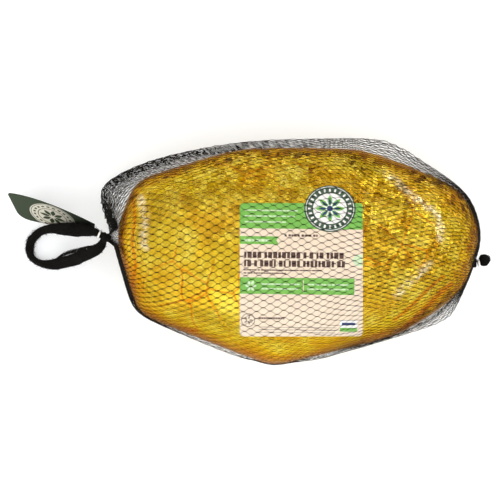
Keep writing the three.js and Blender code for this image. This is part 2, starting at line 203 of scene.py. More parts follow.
def wrapped(direction, sink, loose):
    """The surface in a direction from the middle, sunk by a depth: the foil, or the loose net.

    With X and Z the direction's outward and upward parts in units of the outline and the height,
    the foil is at (X^p + Z^p)^(-1/p). The net is on the tangent from its own rim to that curve.
    """
    angle = np.arctan2(direction[..., 1], direction[..., 0])
    foil_radius = outline_radius(FOIL_FLATS, FOIL_ROUNDNESS, angle)
    height = np.where(direction[..., 2] > 0, CROWN_HEIGHT, KEEL_DEPTH)
    out = np.hypot(direction[..., 0], direction[..., 1]) / foil_radius
    up = np.abs(direction[..., 2]) / height
    towards_cut = np.maximum(0, -np.cos(angle)) ** CUT_FACE_FOCUS
    power = SECTION_SQUARENESS - FRONT_SQUARENESS * np.sin(angle) + CUT_FACE_SQUARENESS * towards_cut
    scale = (out**power + up**power) ** (-1 / power)
    if loose:
        slack = outline_radius(NET_FLATS, NET_ROUNDNESS, angle) / foil_radius
        reach = np.maximum(slack, LEAST_SLACK)
        touch_out = reach ** (-1 / (power - 1))
        touch_up = (1 - touch_out**power) ** (1 / power)
        tangent = reach / (out + up * (reach - touch_out) / touch_up)
        scale = np.where(up * touch_out < touch_up * out, tangent, scale)
    point = direction * (scale - sink)[..., None]
    girth_share = 1 - np.minimum(1, np.abs(point[..., 2]) / height)
    taper = np.where(point[..., 0] < 0, BUTT_TAPER, SHANK_TAPER)
    lean = np.where(direction[..., 2] > 0, CROWN_LEAN, 0) * point[..., 1] / HALF_WIDTH
    kept = (1 - taper * (point[..., 0] / HALF_LENGTH) ** 2) * (1 - lean)
    drawn = tie_draw(angle) * girth_share**2 * (np.linalg.norm(point, axis=-1) / foil_radius) ** 4
    point[..., 2] = point[..., 2] * kept + GIRTH_LEVEL - drawn
    return point


def top_level(x, y, sink):
    """The upper surface's height over a plan point, by bisection on the direction's slope."""
    flat = np.stack([x, y], -1)
    low, high = np.zeros(x.shape), np.full(x.shape, 2 * CROWN_HEIGHT)
    for _ in range(BISECTIONS):
        middle = (low + high) / 2
        direction = unit(np.concatenate([flat, middle[..., None]], -1))
        found = wrapped(direction, sink, False)
        wide = np.hypot(found[..., 0], found[..., 1]) > np.hypot(x, y)
        low = np.where(wide, middle, low)
        high = np.where(wide, high, middle)
    return found[..., 2]


print("crown", top_level(np.zeros(1), np.zeros(1), np.zeros(1)))

# %% [markdown]
# ## Materials
# Small helpers keep each recipe short. A finish is a Principled shader whose own sockets hold what
# is the same all over, with nodes only for what changes from place to place. The patterns read
# Object coordinates, so they stay on the piece and need no unwrapping.

# %% Node helpers


def finish(name, colour, roughness, metallic=0.0, **extra):
    """A material with a Principled shader: returns it, its node tree and the shader."""
    material = bpy.data.materials.new(name)
    material.use_nodes = True
    tree = material.node_tree
    shader = tree.nodes["Principled BSDF"]
    shader.inputs["Base Color"].default_value = (*colour, 1)
    shader.inputs["Roughness"].default_value = roughness
    shader.inputs["Metallic"].default_value = metallic
    for socket, value in extra.items():
        shader.inputs[socket.replace("_", " ")].default_value = value
    return material, tree, shader


def add_node(tree, kind, values=None, links=None, **settings):
    """One node, with its settings, its sockets' values and what its sockets are linked to."""
    node = tree.nodes.new(kind)
    for key, value in settings.items():
        setattr(node, key, value)
    for socket, value in (values or {}).items():
        node.inputs[socket].default_value = value
    for socket, source in (links or {}).items():
        tree.links.new(source, node.inputs[socket])
    return node


def object_place(tree):
    """The point's place in the object's own frame, which is also the ham's."""
    return add_node(tree, "ShaderNodeTexCoord").outputs["Object"]


def stored(tree, name):
    """A number that the piece's mesh keeps for each point."""
    return add_node(tree, "ShaderNodeAttribute", attribute_name=name).outputs["Fac"]


def noise(tree, place, scale, detail=3.0, distortion=0.0):
    """Soft clouds from 0 to 1, with so many features to a metre."""
    values = {"Scale": scale, "Detail": detail, "Distortion": distortion}
    return add_node(tree, "ShaderNodeTexNoise", values, {"Vector": place}).outputs["Fac"]


def cell_edges(tree, place, scale):
    """How far each point is from the edges of scattered cells, with so many cells to a metre."""
    node = add_node(
        tree, "ShaderNodeTexVoronoi", {"Scale": scale}, {"Vector": place}, feature="DISTANCE_TO_EDGE"
    )
    return node.outputs["Distance"]


def ramp(tree, factor, stops):
    """Colours at places from 0 to 1, blended between."""
    node = add_node(tree, "ShaderNodeValToRGB", links={"Fac": factor})
    elements = node.color_ramp.elements
    while len(elements) < len(stops):
        elements.new(0.5)
    for element, (place, colour) in zip(elements, stops):
        element.position = place
        element.color = (*colour, 1)
    return node.outputs["Color"]


def span(tree, value, low, high, start=0.0, end=1.0):
    """A value that runs from start to end, stretched to run from low to high."""
    values = {"From Min": start, "From Max": end, "To Min": low, "To Max": high}
    return add_node(tree, "ShaderNodeMapRange", values, {"Value": value}).outputs["Result"]


def vector_maths(tree, operation, first, second):
    """One vector operation on two sources, which are sockets or plain vectors."""
    node = add_node(tree, "ShaderNodeVectorMath", operation=operation)
    for number, source in enumerate((first, second)):
        if isinstance(source, tuple):
            node.inputs[number].default_value = source
        else:
            tree.links.new(source, node.inputs[number])
    return node.outputs["Value" if operation == "DOT_PRODUCT" else "Vector"]


def tilted_patches(tree, place, scale):
    """Relief of flat patches, and a random number for each.

    In each scattered cell, the relief is a random lean times the offset from the cell's middle.
    """
    cell = add_node(tree, "ShaderNodeTexVoronoi", {"Scale": scale}, {"Vector": place})
    lean = vector_maths(tree, "SUBTRACT", cell.outputs["Color"], (0.5, 0.5, 0.5))
    offset = vector_maths(tree, "SUBTRACT", place, cell.outputs["Position"])
    return vector_maths(tree, "DOT_PRODUCT", lean, offset), cell.outputs["Color"]


def times(tree, colour, other):
    """One colour multiplied by another."""
    links = {"A": colour, "B": other}
    settings = {"data_type": "RGBA", "blend_type": "MULTIPLY"}
    return add_node(tree, "ShaderNodeMix", {"Factor": 1.0}, links, **settings).outputs["Result"]


def tinted(tree, share, tint):
    """White where a share is 0, and the tint where it is 1."""
    links = {"Factor": share, "B": tint}
    return add_node(tree, "ShaderNodeMix", {"A": (1, 1, 1, 1)}, links, data_type="RGBA").outputs["Result"]


def bump(tree, height, depth, strength=1.0, under=None):
    """Fine relief of a depth in metres, laid over an earlier bump if there is one."""
    values = {"Distance": depth, "Strength": strength}
    links = {"Height": height}
    if under is not None:
        links["Normal"] = under
    return add_node(tree, "ShaderNodeBump", values, links).outputs["Normal"]


# %% [markdown]
# ## Crumpled foil
# Foil pressed round a ham is nearly flat facets that meet in creases. Each facet here is a gently
# tilted dome over a scattered point, and the surface is the highest dome at each place, so that
# neighbours meet in sharp valleys. A second, coarser set of cells gives thin dents along the lines
# that are equally far from two points. A few long folds and raised wrinkles are listed, because the
# eye finds them first, and pleats run out from the right-hand tie, where the foil is drawn together.
# One side of the ham is calmer than the other, so the relief grows across it. The finest wrinkles
# are left to the material.

# %% Facets, creases and the label's smooth place
LABEL_LEFT, LABEL_RIGHT = -41.5 * MM, 54 * MM
LABEL_FRONT, LABEL_BACK = -65.5 * MM, 38 * MM
SEAL_X, SEAL_Y, SEAL_ACROSS, SEAL_UP = 28.5 * MM, 33.7 * MM, 19.8 * MM, 18 * MM
LABEL_FADE = 3 * MM


def neighbour_cells(points, cell):
    """For the 27 cells round each point: the cell's whole-number place and the offset to its point."""
    place = points / cell
    home = np.floor(place)
    for step in np.ndindex(3, 3, 3):
        there = home + np.array(step) - 1
        i, j, k = np.moveaxis(there, -1, 0)
        centre = there + np.stack([repeatable(i, j, k, channel) for channel in (1, 2, 3)], -1)
        yield (i, j, k), place - centre


def facets(points, cell, tilt, dome):
    """Heights in cells: the highest of tilt . offset - dome * |offset|^2 among the nearby cells."""
    height = np.full(points.shape[:-1], -9.0)
    for (i, j, k), offset in neighbour_cells(points, cell):
        lean = np.stack([repeatable(i, j, k, channel) - 0.5 for channel in (4, 5, 6)], -1) * tilt
        height = np.maximum(height, (lean * offset).sum(-1) - dome * (offset**2).sum(-1))
    return height


def creases(points, cell, width):
    """1 on the lines midway between scattered points, falling to 0 at a width from them."""
    nearest = np.full(points.shape[:-1], 9.0)
    second = nearest.copy()
    for _, offset in neighbour_cells(points, cell):
        distance = np.linalg.norm(offset, axis=-1)
        second = np.minimum(second, np.maximum(distance, nearest))
        nearest = np.minimum(nearest, distance)
    return np.clip(1 - (second - nearest) * cell / width, 0, 1)


END_ANGLE, CROWN_STEPS = 0.002, 2000


def even_angles(steps):
    """Polar angles from one end of the ham to the other, evenly spaced along its crown."""
    fine = np.linspace(END_ANGLE, np.pi - END_ANGLE, CROWN_STEPS)
    crown = np.stack([-np.cos(fine), 0 * fine, np.sin(fine)], -1)
    line = wrapped(crown, np.zeros(fine.shape), False)
    travelled = np.concatenate([[0], np.cumsum(np.linalg.norm(np.diff(line, axis=0), axis=-1))])
    return np.interp(np.linspace(0, travelled[-1], steps), travelled, fine)


def under_label(points):
    """1 where the label covers the foil and keeps it smooth, fading to 0 just outside."""
    x, y, z = np.moveaxis(points, -1, 0)
    outside = np.maximum.reduce([LABEL_LEFT - x, x - LABEL_RIGHT, LABEL_FRONT - y, y - LABEL_BACK])
    seal = np.hypot((x - SEAL_X) / SEAL_ACROSS, (y - SEAL_Y) / SEAL_UP) - 1
    outside = np.minimum(outside, seal * SEAL_UP)
    return (1 - smooth(0, LABEL_FADE, outside)) * (z > GIRTH_LEVEL)


# %% Folds, pleats and the whole relief
FOLDS = [  # the two ends of each long fold, seen from above
    [[-125.5, 48], [-124.5, -38]],
    [[-133, 38], [-133.5, -20]],
    [[126.4, -24.2], [81.9, -63.2]],
    [[119.3, -20.3], [79.6, -54.6]],
]
CRESTS = [  # the same for the long raised wrinkles that catch the light
    [[74, 62], [96, 44]],
    [[96, 44], [113.9, 28.1]],
    [[113.9, 28.1], [118.6, 9.4]],
    [[83, -33], [106.9, -10.1]],
    [[-119, 42], [-116, 4]],
]
FOLD_WIDTH, CREST_WIDTH, CREST_RISE = 2.2 * MM, 4.5 * MM, 0.5 * MM
PLEATS, PLEAT_REACH, PLEAT_DEPTH = 11, 62 * MM, 1.1 * MM
FACET_SIZES = ((24 * MM, 0.13), (9 * MM, 0.2), (4.5 * MM, 0.2))  # each with its tilt
FACET_DOME, FACET_DEPTH = 0.06, 0.7
DENT_CELL, DENT_WIDTH, DENT_DEPTH, DENT_SHARE = 44 * MM, 1.5 * MM, 0.45 * MM, 0.6
FOIL_SINK, LABEL_BED, FOIL_FLOOR = 1.0 * MM, 0.5 * MM, 0.9 * MM
RIM_FILL, RIM_SHADE = 0.5, 0.45  # at its widest the foil is fuller, and painted shade browns its rim
RIM_FADE = -12 * MM, 6 * MM  # the rim's painted shade is on the upper side, and fades here about the girth
CALM_SIDE, ROUGH_SIDE, UPHILL = -60 * MM, 60 * MM, (0.45, 1.0, 0.0)  # wrinkles grow along this way


def swayed(points, reach, length):
    """Points moved by reach * sin(another coordinate / length), so that what follows them wanders."""
    return points + reach * np.sin(points[..., [1, 2, 0]] / length)


def long_folds(points, folds, width):
    """1 along the long folds, seen from above and wandering a little, falling to 0 at a width."""
    flat = swayed(points, 1.2 * MM, 6 * MM)[..., :2]
    found = np.zeros(flat.shape[:-1])
    for start, stop in np.array(folds) * MM:
        way = stop - start
        share = np.clip(((flat - start) * way).sum(-1) / (way**2).sum(), 0, 1)
        off = np.linalg.norm(flat - start - share[..., None] * way, axis=-1)
        found = np.maximum(found, 1 - off / width)
    return found * (points[..., 2] > GIRTH_LEVEL)


def tie_pleats(points, turn):
    """Sharp pleats, |sin| of the angle round the ham, that fade out with distance from the right tie."""
    near = 1 - smooth(0.15 * PLEAT_REACH, PLEAT_REACH, np.linalg.norm(points - RIGHT_TIE, axis=-1))
    return near * (1 - np.abs(np.sin(PLEATS * turn + 1.5 * np.sin(3 * turn))))


def facet_relief(points):
    """Facets of every size added up, as each point's depth below the highest of them."""
    relief = 0
    for cell, tilt in FACET_SIZES:
        height = facets(points, cell, tilt, FACET_DOME)
        relief = relief + (height.max() - height) * cell
    return relief


def foil_grid(rows, columns):
    """Points of the crumpled foil on a grid: rows along the ham, columns round it.

    Each point is sunk into the smooth form by facets + dents + pleats - crests, or by an even bed
    under the label. Its painted shade on folds, pleats and rim, how raised it is, and its depth, are returned
    too.
    """
    turn = np.linspace(0, 2 * np.pi, columns, endpoint=False)[None]
    direction = polar_direction(even_angles(rows)[:, None], turn)
    bare = wrapped(direction, np.zeros(direction.shape[:2]), False)
    bent = swayed(bare, 5 * MM, 19 * MM)
    pleats = tie_pleats(bare, turn)
    angle = np.arctan2(bare[..., 1], bare[..., 0])
    share = np.hypot(bare[..., 0], bare[..., 1]) / outline_radius(FOIL_FLATS, FOIL_ROUNDNESS, angle)
    rim = smooth(0.8, 1, share)
    folds = long_folds(bare, FOLDS, FOLD_WIDTH)
    crests = long_folds(bare, CRESTS, CREST_WIDTH)
    dents = np.maximum(folds, DENT_SHARE * creases(bent, DENT_CELL, DENT_WIDTH))
    unruly = 0.35 + 0.9 * smooth(CALM_SIDE, ROUGH_SIDE, bare @ np.array(UPHILL))
    crumpled = FACET_DEPTH * unruly * facet_relief(bent)
    depth = crumpled + DENT_DEPTH * dents + PLEAT_DEPTH * pleats - CREST_RISE * crests
    # painted shade: browner on the upper rim, where the foil turns from the light, and on folds and pleats
    shaded_rim = RIM_SHADE * rim**3 * smooth(*RIM_FADE, bare[..., 2] - GIRTH_LEVEL)
    shade_share = np.maximum.reduce([folds, 0.8 * pleats**3, shaded_rim])
    flat = under_label(bare)
    depth = np.maximum(depth, 0) * (1 - flat) + LABEL_BED * flat
    points = wrapped(direction, (FOIL_SINK + depth) * (1 - RIM_FILL * rim), False)
    points[..., 2] = np.maximum(points[..., 2], FOIL_FLOOR)
    return points, shade_share * (1 - flat), crests * (1 - flat), depth


# %% [markdown]
# ## The foil's finish
# The foil is aluminium under a thin yellow lacquer, so it is a metal whose own colour is gold. Noise
# alone would look like clouds on a smooth sheet. So its bump comes from scattered cells, each a flat
# patch with a random lean, and every patch mirrors another part of the room. Each patch's colour also
# carries painted light, paler or browner with its lean. Painted shade browns the creases, folds, pleats
# and upper rim, and a painted highlight makes the raised wrinkles glint.

# %% Foil finish
CREASE_SWAY = 9 * MM
# the colour of the painted highlight on the raised wrinkles
GLINT_GOLD = (0.95, 0.85, 0.58, 1)
LACQUER_TONES = [(0.3, (0.56, 0.36, 0.016)), (0.5, (0.65, 0.46, 0.026)), (0.7, (0.7, 0.54, 0.055))]
WARM_TINT = [(0.42, (1.0, 0.87, 0.7)), (0.57, (1, 1, 1))]
# painted shade along the thin crease lines
LINE_SHADE = [(0.0, (0.95, 0.55, 0.3)), (1.0, (1, 1, 1))]
# painted shade on the folds, pleats and upper rim
CREASE_SHADE = [(0.0, (1, 1, 1)), (0.8, (0.88, 0.46, 0.25))]
# painted light: patches that lean one way are paler, the other way browner
PATCH_LIGHT_AND_SHADE = [(0.3, (0.78, 0.69, 0.55)), (0.5, (0.97, 0.96, 0.92)), (0.7, (1.15, 1.18, 1.7))]


def gold_foil():
    """Yellow lacquer on aluminium: small facets with painted light, painted shade along creases, and painted
    glints.
    """
    gloss = {"Coat_Weight": 0.1, "Coat_Roughness": 0.08, "Specular_Tint": (0.7, 0.42, 0.14, 1)}
    material, tree, shader = finish("gold_foil", (0.6, 0.41, 0.03), 0.25, 1.0, **gloss)
    place = object_place(tree)
    uphill = vector_maths(tree, "DOT_PRODUCT", place, UPHILL)
    unruly = span(tree, uphill, 0.12, 1.1, CALM_SIDE, ROUGH_SIDE)
    # the lacquer's own tone, in clouds
    warm = ramp(tree, noise(tree, place, 30, 4), WARM_TINT)
    tone = times(tree, ramp(tree, noise(tree, place, 60, 5), LACQUER_TONES), warm)
    # painted shade along thin lines that wander, in some places only, and along the long folds
    wander = add_node(tree, "ShaderNodeTexNoise", {"Scale": 45.0, "Detail": 5.0}, {"Vector": place})
    sway = vector_maths(tree, "MULTIPLY", wander.outputs["Color"], (CREASE_SWAY,) * 3)
    bent = vector_maths(tree, "ADD", place, sway)
    groove = span(tree, cell_edges(tree, bent, 34), 0, 1, 0, 0.04)
    patchy = span(tree, noise(tree, place, 22), 0, 1, 0.42, 0.6)
    thin = tinted(tree, patchy, ramp(tree, groove, LINE_SHADE))
    # painted shade: browner on folds, pleats and the upper rim
    creased = times(tree, thin, ramp(tree, stored(tree, "crease_and_rim_shade"), CREASE_SHADE))
    # painted light on the patches, paler or browner with their lean, and a painted highlight on what is
    # raised
    coarse_relief, patch = tilted_patches(tree, bent, 200)
    fine_relief, _ = tilted_patches(tree, bent, 430)
    facet = tinted(tree, unruly, ramp(tree, patch, PATCH_LIGHT_AND_SHADE))
    gold = times(tree, times(tree, tone, facet), creased)
    # painted highlight: pale gold in spots along the raised wrinkles
    sparkle = span(tree, noise(tree, place, 260, 3), 0, 0.85, 0.36, 0.6)
    glint = times(tree, stored(tree, "crest"), sparkle)
    bright = add_node(tree, "ShaderNodeMix", {"B": GLINT_GOLD}, {"Factor": glint, "A": gold}, data_type="RGBA")
    tree.links.new(bright.outputs["Result"], shader.inputs["Base Color"])
    tree.links.new(span(tree, noise(tree, place, 200), 0.14, 0.32), shader.inputs["Roughness"])
    # the relief, from the grooves to the finest streaks
    grooved = bump(tree, groove, 0.3 * MM, 0.7)
    large = bump(tree, times(tree, coarse_relief, unruly), 0.55, 1.0, grooved)
    small = bump(tree, times(tree, fine_relief, unruly), 0.4, 1.0, large)
    streak = bump(tree, noise(tree, place, 900, 5, 0.8), 0.16 * MM, 0.5, small)
    tree.links.new(streak, shader.inputs["Normal"])
    return material


# %% Foil piece
FOIL_ROWS, FOIL_COLUMNS = 236, 400
foil_points, foil_shade_share, foil_crests, foil_depth = foil_grid(FOIL_ROWS, FOIL_COLUMNS)
foil_numbers = np.arange(FOIL_ROWS * FOIL_COLUMNS).reshape(FOIL_ROWS, FOIL_COLUMNS)
pole_numbers = np.full(FOIL_COLUMNS, FOIL_ROWS * FOIL_COLUMNS)
foil_caps = [
    np.stack([pole_numbers, np.roll(foil_numbers[0], -1), foil_numbers[0]], -1),
    np.stack([pole_numbers + 1, foil_numbers[-1], np.roll(foil_numbers[-1], -1)], -1),
]
poles = np.stack([foil_points[0].mean(0), foil_points[-1].mean(0)])
foil_all = np.concatenate([foil_points.reshape(-1, 3), poles])
foil = new_piece("foil_wrap", foil_all, [grid_faces(foil_numbers), *foil_caps], [gold_foil()])
for name, shares in (("crease_and_rim_shade", foil_shade_share), ("crest", foil_crests)):
    attribute = foil.data.attributes.new(name, "FLOAT", "POINT")
    attribute.data.foreach_set("value", np.append(shares, [0, 0]).astype(np.float32))
belongs(foil, "gold_foil", "netted_ham")
print("relief mm", foil_depth.min() / MM, foil_depth.max() / MM)

# %% [markdown]
# ## The knitted net
# This net is knitted as chains of yarn that run from one tie to the other. Each chain is joined to
# its left neighbour, then to its right one, and so on, which opens the net into diamonds. A joint
# is a short stretch where two chains lie side by side. So the joints sit on lines between the
# chains, at even steps along the surface, and each chain simply swings from line to line.
#
# The chains aren't spread evenly round the ham. They lie wider apart over the broad end than over
# the narrow one, where they crowd onto the upper side. They bunch at the slack back and in a narrow
# line at the front rim, and spread over the front shoulder and down the steep front. Where the net
# hangs slack, its legs bow. Just past the left tie the chains fan out level from the middle of the
# cut face, which is what gives the rows their slight tilt there.

# %% Lines of joints
CHAINS, LINE_STEPS, GIRTH_STEPS = 198, 420, 1441
JOINT_ROWS = 68
PITCH_SWELL = 0.117
JOINT_HALF = 1.1 * MM
PAIR_HALF = 0.15 * MM
CHAIN_SINK = 0.3 * MM
NET_FLOOR = 0.35 * MM
NECK_LENGTH = 9 * MM
BACK_EDGE, FRONT_EDGE, EDGE_BLEND = np.radians(372), np.radians(200), np.radians(12)
COARSE_LEFT, COARSE_MIDDLE, COARSE_RIGHT = 0.15, -0.2, -1.4
LEFT_TO_MIDDLE, MIDDLE_TO_RIGHT = (0.34, 0.6), (0.55, 0.68)
FRONT_WALL, FRONT_STEEP = 0.4, 0.9
BACK_BUNCH, FRONT_BUNCH = (2 * np.pi, 1.3, np.radians(22)), (np.pi, 1.6, np.radians(4))
FRONT_SPREAD = (np.radians(145), -0.15, np.radians(22))
FAN = np.array([-1, -0.049, -0.007])
FAN_SHARE = 0.15


def girth_angles(turn, coarse):
    """Angles round the girth for shares of a turn from the top, with the chains unevenly spread.

    The chains' density along the girth is 1 - coarse * bump, where the bump is 1 over the top
    and falls to 0 down both flanks. It is less down the steep front. A bell curve at each rim adds
    the bunched net there, broad at the slack back and narrow at the front, and a third one takes
    some away where the net is stretched over the front shoulder.
    """
    ring = np.linspace(np.pi / 2, 2.5 * np.pi, GIRTH_STEPS)
    around = np.stack([0 * ring, np.cos(ring), np.sin(ring)], -1)
    step = np.diff(wrapped(around, np.zeros(ring.shape), True), axis=0)
    length = np.linalg.norm(step, axis=-1)
    angle = (ring[1:] + ring[:-1]) / 2
    level = smooth(0, FRONT_STEEP, np.abs(step[:, 1]) / length)
    flank = np.where(angle < 1.5 * np.pi, FRONT_WALL + (1 - FRONT_WALL) * level, 1)
    front = 1 - smooth(FRONT_EDGE - EDGE_BLEND, FRONT_EDGE + EDGE_BLEND, angle)
    back = smooth(BACK_EDGE - EDGE_BLEND, BACK_EDGE + EDGE_BLEND, angle)
    bells = (BACK_BUNCH, FRONT_BUNCH, FRONT_SPREAD)
    bunched = 1 + sum(rise * np.exp(-(((angle - at) / spread) ** 2)) for at, rise, spread in bells)
    density = flank * (1 - coarse * (front + back)) * bunched
    counted = np.concatenate([[0], np.cumsum(length * density)])
    return np.interp(turn * counted[-1], counted, ring)


def joint_lines(lines):
    """Lines from tie to tie over the net, and the distance travelled along each.

    The direction from the middle is the blend (1-w)^2 L + 2w(1-w) E + w^2 R of the left tie's
    direction (or the fan's, a little further on), the line's own direction round the girth, and
    the right tie's direction. Each point's fourth number is how far it hangs clear of the foil.
    """
    turn = (np.arange(lines) + 0.5) / lines
    sway = 0.16 * np.sin(2 * np.pi * 3 * turn) + 0.13 * np.sin(2 * np.pi * 7 * turn + 1)
    turn = (turn + sway / lines)[:, None]
    blend = np.linspace(0, 1, LINE_STEPS)[None]
    left_angle, middle_angle, right_angle = (
        girth_angles(turn, coarse) for coarse in (COARSE_LEFT, COARSE_MIDDLE, COARSE_RIGHT)
    )
    angle = middle_angle + (left_angle - middle_angle) * (1 - smooth(*LEFT_TO_MIDDLE, blend))
    angle = angle + (right_angle - middle_angle) * smooth(*MIDDLE_TO_RIGHT, blend)
    across = np.stack([0 * angle, np.cos(angle), np.sin(angle)], -1)
    blend = blend[..., None]
    left, right = unit(LEFT_TIE - MIDDLE), unit(RIGHT_TIE - MIDDLE)
    left = unit(left + (unit(FAN) - left) * smooth(0, FAN_SHARE, blend))
    direction = unit((1 - blend) ** 2 * left + 2 * blend * (1 - blend) * across + blend**2 * right)
    points, taut = (wrapped(direction, np.full(angle.shape, CHAIN_SINK), loose) for loose in (True, False))
    gap = np.linalg.norm(points - taut, axis=-1, keepdims=True)
    points[..., 2] = np.maximum(points[..., 2], NET_FLOOR)
    steps = np.linalg.norm(np.diff(points, axis=1), axis=-1)
    travelled = np.concatenate([np.zeros((lines, 1)), np.cumsum(steps, axis=1)], axis=1)
    return np.concatenate([points, gap], axis=-1), travelled


def at_lengths(points, lengths, wanted):
    """Each line's numbers, such as its points, at the wanted lengths along it."""
    found = np.empty((*wanted.shape, points.shape[-1]))
    for line in range(len(points)):
        for column in range(points.shape[-1]):
            found[line, :, column] = np.interp(wanted[line], lengths[line], points[line, :, column])
    return found


line_points, line_lengths = joint_lines(CHAINS)
lines = np.arange(CHAINS)[:, None]
row = np.arange(JOINT_ROWS + 1)[None]
knitted = line_lengths[:, -1:] - 2 * NECK_LENGTH
drift = 0.5 * MM * np.sin(row * 0.37 + 0.05 * lines)
wobble = 0.35 * MM * (repeatable(row, lines, 0, 0) - 0.5)
row_share = row / JOINT_ROWS
row_share = row_share + PITCH_SWELL * np.sin(2 * np.pi * row_share) / (2 * np.pi)
stations = NECK_LENGTH + knitted * row_share + (drift + wobble) * np.sin(np.pi * row_share)
joint_half = np.minimum(JOINT_HALF, 0.25 * knitted / JOINT_ROWS)
joint_starts = at_lengths(line_points, line_lengths, stations - joint_half)
joint_starts, joint_gaps = joint_starts[..., :3], joint_starts[..., 3]
joint_ends = at_lengths(line_points, line_lengths, stations + joint_half)[..., :3]
print("row pitch mm", float(knitted.mean() / JOINT_ROWS * 2 / MM), "loosest mm", joint_gaps.max() / MM)

# %% Chains of yarn
JOINT_RADIUS, LEG_RADIUS = 0.18 * MM, 0.125 * MM
SLACK_THICKENING, TAUT_GAP, SLACK_GAP, SLACK_BOW = 0.4, 3 * MM, 9 * MM, 1.8 * MM
NECK_RING, NECK_REACH = 3.2 * MM, 0.9 * MM
LEG_SHARES = 0.22, 0.78
YARN_SIDES = 4


def inwards_from(tie):
    """The level direction from a tie towards the ham's middle."""
    return unit(np.array([-tie[0], -tie[1], 0]))


def neck_points(ends, tie):
    """Where each chain enters the gathered neck at its tie: two points on a tight ring."""
    inwards = inwards_from(tie)
    off = ends - tie
    aside = unit(off - (off * inwards).sum(-1, keepdims=True) * inwards)
    tight = tie + inwards * NECK_REACH + aside * NECK_RING
    wide = tie + inwards * (NECK_REACH + 2.5 * MM) + aside * NECK_RING * 1.12
    return np.stack([tight, wide], axis=1)


def chain_paths():
    """Every chain as points, with their radii: joint start and end, two on each leg, and the necks.

    Yarn pulled tight round the foil is thin, and it is fuller where the net hangs slack at the back.
    """
    line = np.where((lines + row) % 2 == 0, lines, (lines - 1) % CHAINS)
    side = np.where((lines + row) % 2 == 0, -1, 1)[..., None]
    begin, end = joint_starts[line, row], joint_ends[line, row]
    neighbour = joint_starts[(line + 1) % CHAINS, row] - joint_starts[(line - 1) % CHAINS, row]
    room = np.linalg.norm(neighbour, axis=-1, keepdims=True) / 4
    aside = side * unit(neighbour) * np.minimum(PAIR_HALF, room * 0.45)
    begin, end = begin + aside, end + aside
    following = np.roll(begin, -1, axis=1)
    following[:, -1] = end[:, -1]
    leg = following - end
    slack = smooth(TAUT_GAP, SLACK_GAP, joint_gaps[line, row])
    knit = [begin, end]
    for number, share in enumerate(LEG_SHARES, 1):
        bow = SLACK_BOW * slack * (2 * repeatable(lines, row, number, 6) - 1)
        knit.append(end + share * leg + bow[..., None] * unit(neighbour))
    knit = np.stack(knit, axis=2)[:, :-1].reshape(CHAINS, -1, 3)
    first, last = neck_points(knit[:, 0], LEFT_TIE), neck_points(knit[:, -1], RIGHT_TIE)
    slack = slack * (0.3 + 0.7 * smooth(-0.2, 0.2, begin[..., 1] / HALF_WIDTH))
    fuller = 1 + SLACK_THICKENING * slack[:, :-1, None]
    radii = fuller * [JOINT_RADIUS, JOINT_RADIUS, LEG_RADIUS, LEG_RADIUS]
    radii = np.pad(radii.reshape(CHAINS, -1), ((0, 0), (2, 2)), constant_values=LEG_RADIUS)
    return np.concatenate([first, knit, last[:, ::-1]], axis=1), radii


def net_yarn():
    """Matt black nylon yarn with a faint twist, a little browner and paler in patches."""
    material, tree, shader = finish("net_yarn", (0.005, 0.0045, 0.004), 0.8, Specular_IOR_Level=0.12)
    place = object_place(tree)
    stops = [(0.3, (0.003, 0.0027, 0.0025)), (0.75, (0.009, 0.008, 0.0068))]
    tree.links.new(ramp(tree, noise(tree, place, 90), stops), shader.inputs["Base Color"])
    tree.links.new(bump(tree, noise(tree, place, 3000, 2), 0.08 * MM, 0.7), shader.inputs["Normal"])
    return material


yarn = net_yarn()
paths, radii = chain_paths()
thick = 0.9 + 0.2 * repeatable(lines, 1, 2, 3)
THIRD = CHAINS // 3
for name, first in (("net_back", 0), ("net_under", THIRD), ("net_front", 2 * THIRD)):
    chosen = slice(first, first + THIRD)
    outward = unit(paths[chosen] - MIDDLE)
    size = radii[chosen] * thick[chosen]
    net = new_piece(name, *tube_arrays(paths[chosen], size, outward, YARN_SIDES), [yarn])
    belongs(net, "black_net", "netted_ham")

# %% [markdown]
# ## Print
# The label and the tag are printed sheets. A sheet could carry an image, but flat fields with
# sharp edges are better as geometry: the sheet's plan is split into triangles that follow every
# field's outline, and each triangle takes the ink of the last field it lies in, just as one ink
# is laid over another on a press. Rows of plain dashes stand where lines of small print would be.

# %% Printed fields
WIDEST_GAP = 0.8


def inside(points, outline):
    """Whether each point is in an outline: a level line from it crosses it an odd number of times."""
    x, y = points[:, :1], points[:, 1:]
    begin, end = outline, np.roll(outline, -1, axis=0)
    spans = (begin[:, 1] > y) != (end[:, 1] > y)
    rise = end[:, 1] - begin[:, 1]
    crossing = begin[:, 0] + (y - begin[:, 1]) * (end[:, 0] - begin[:, 0]) / np.where(rise == 0, 1, rise)
    return (spans & (x < crossing)).sum(1) % 2 == 1


def oval(x, y, across, up, points=64):
    """An ellipse's outline."""
    turn = np.linspace(0, 2 * np.pi, points, endpoint=False)
    return np.column_stack([x + across * np.cos(turn), y + up * np.sin(turn)])


def bar(left, bottom, right, top):
    """A rectangle's outline."""
    return np.array([[left, bottom], [right, bottom], [right, top], [left, top]], float)


def dashes(left, right, bottom, height, longest, seed):
    """A row of dashes of uneven lengths, with a wider gap after every few."""
    outlines, x, count = [], left, 0
    gap = min(0.28 * height, WIDEST_GAP)
    while x < right - 0.4 * longest:
        long = longest * (0.45 + 0.55 * repeatable(seed, count, 7, 1))
        outlines.append(bar(x, bottom, min(x + long, right), bottom + height))
        wide = repeatable(seed, count, 3, 2) < 0.2
        x += long + gap * (3 if wide else 1)
        count += 1
    return outlines


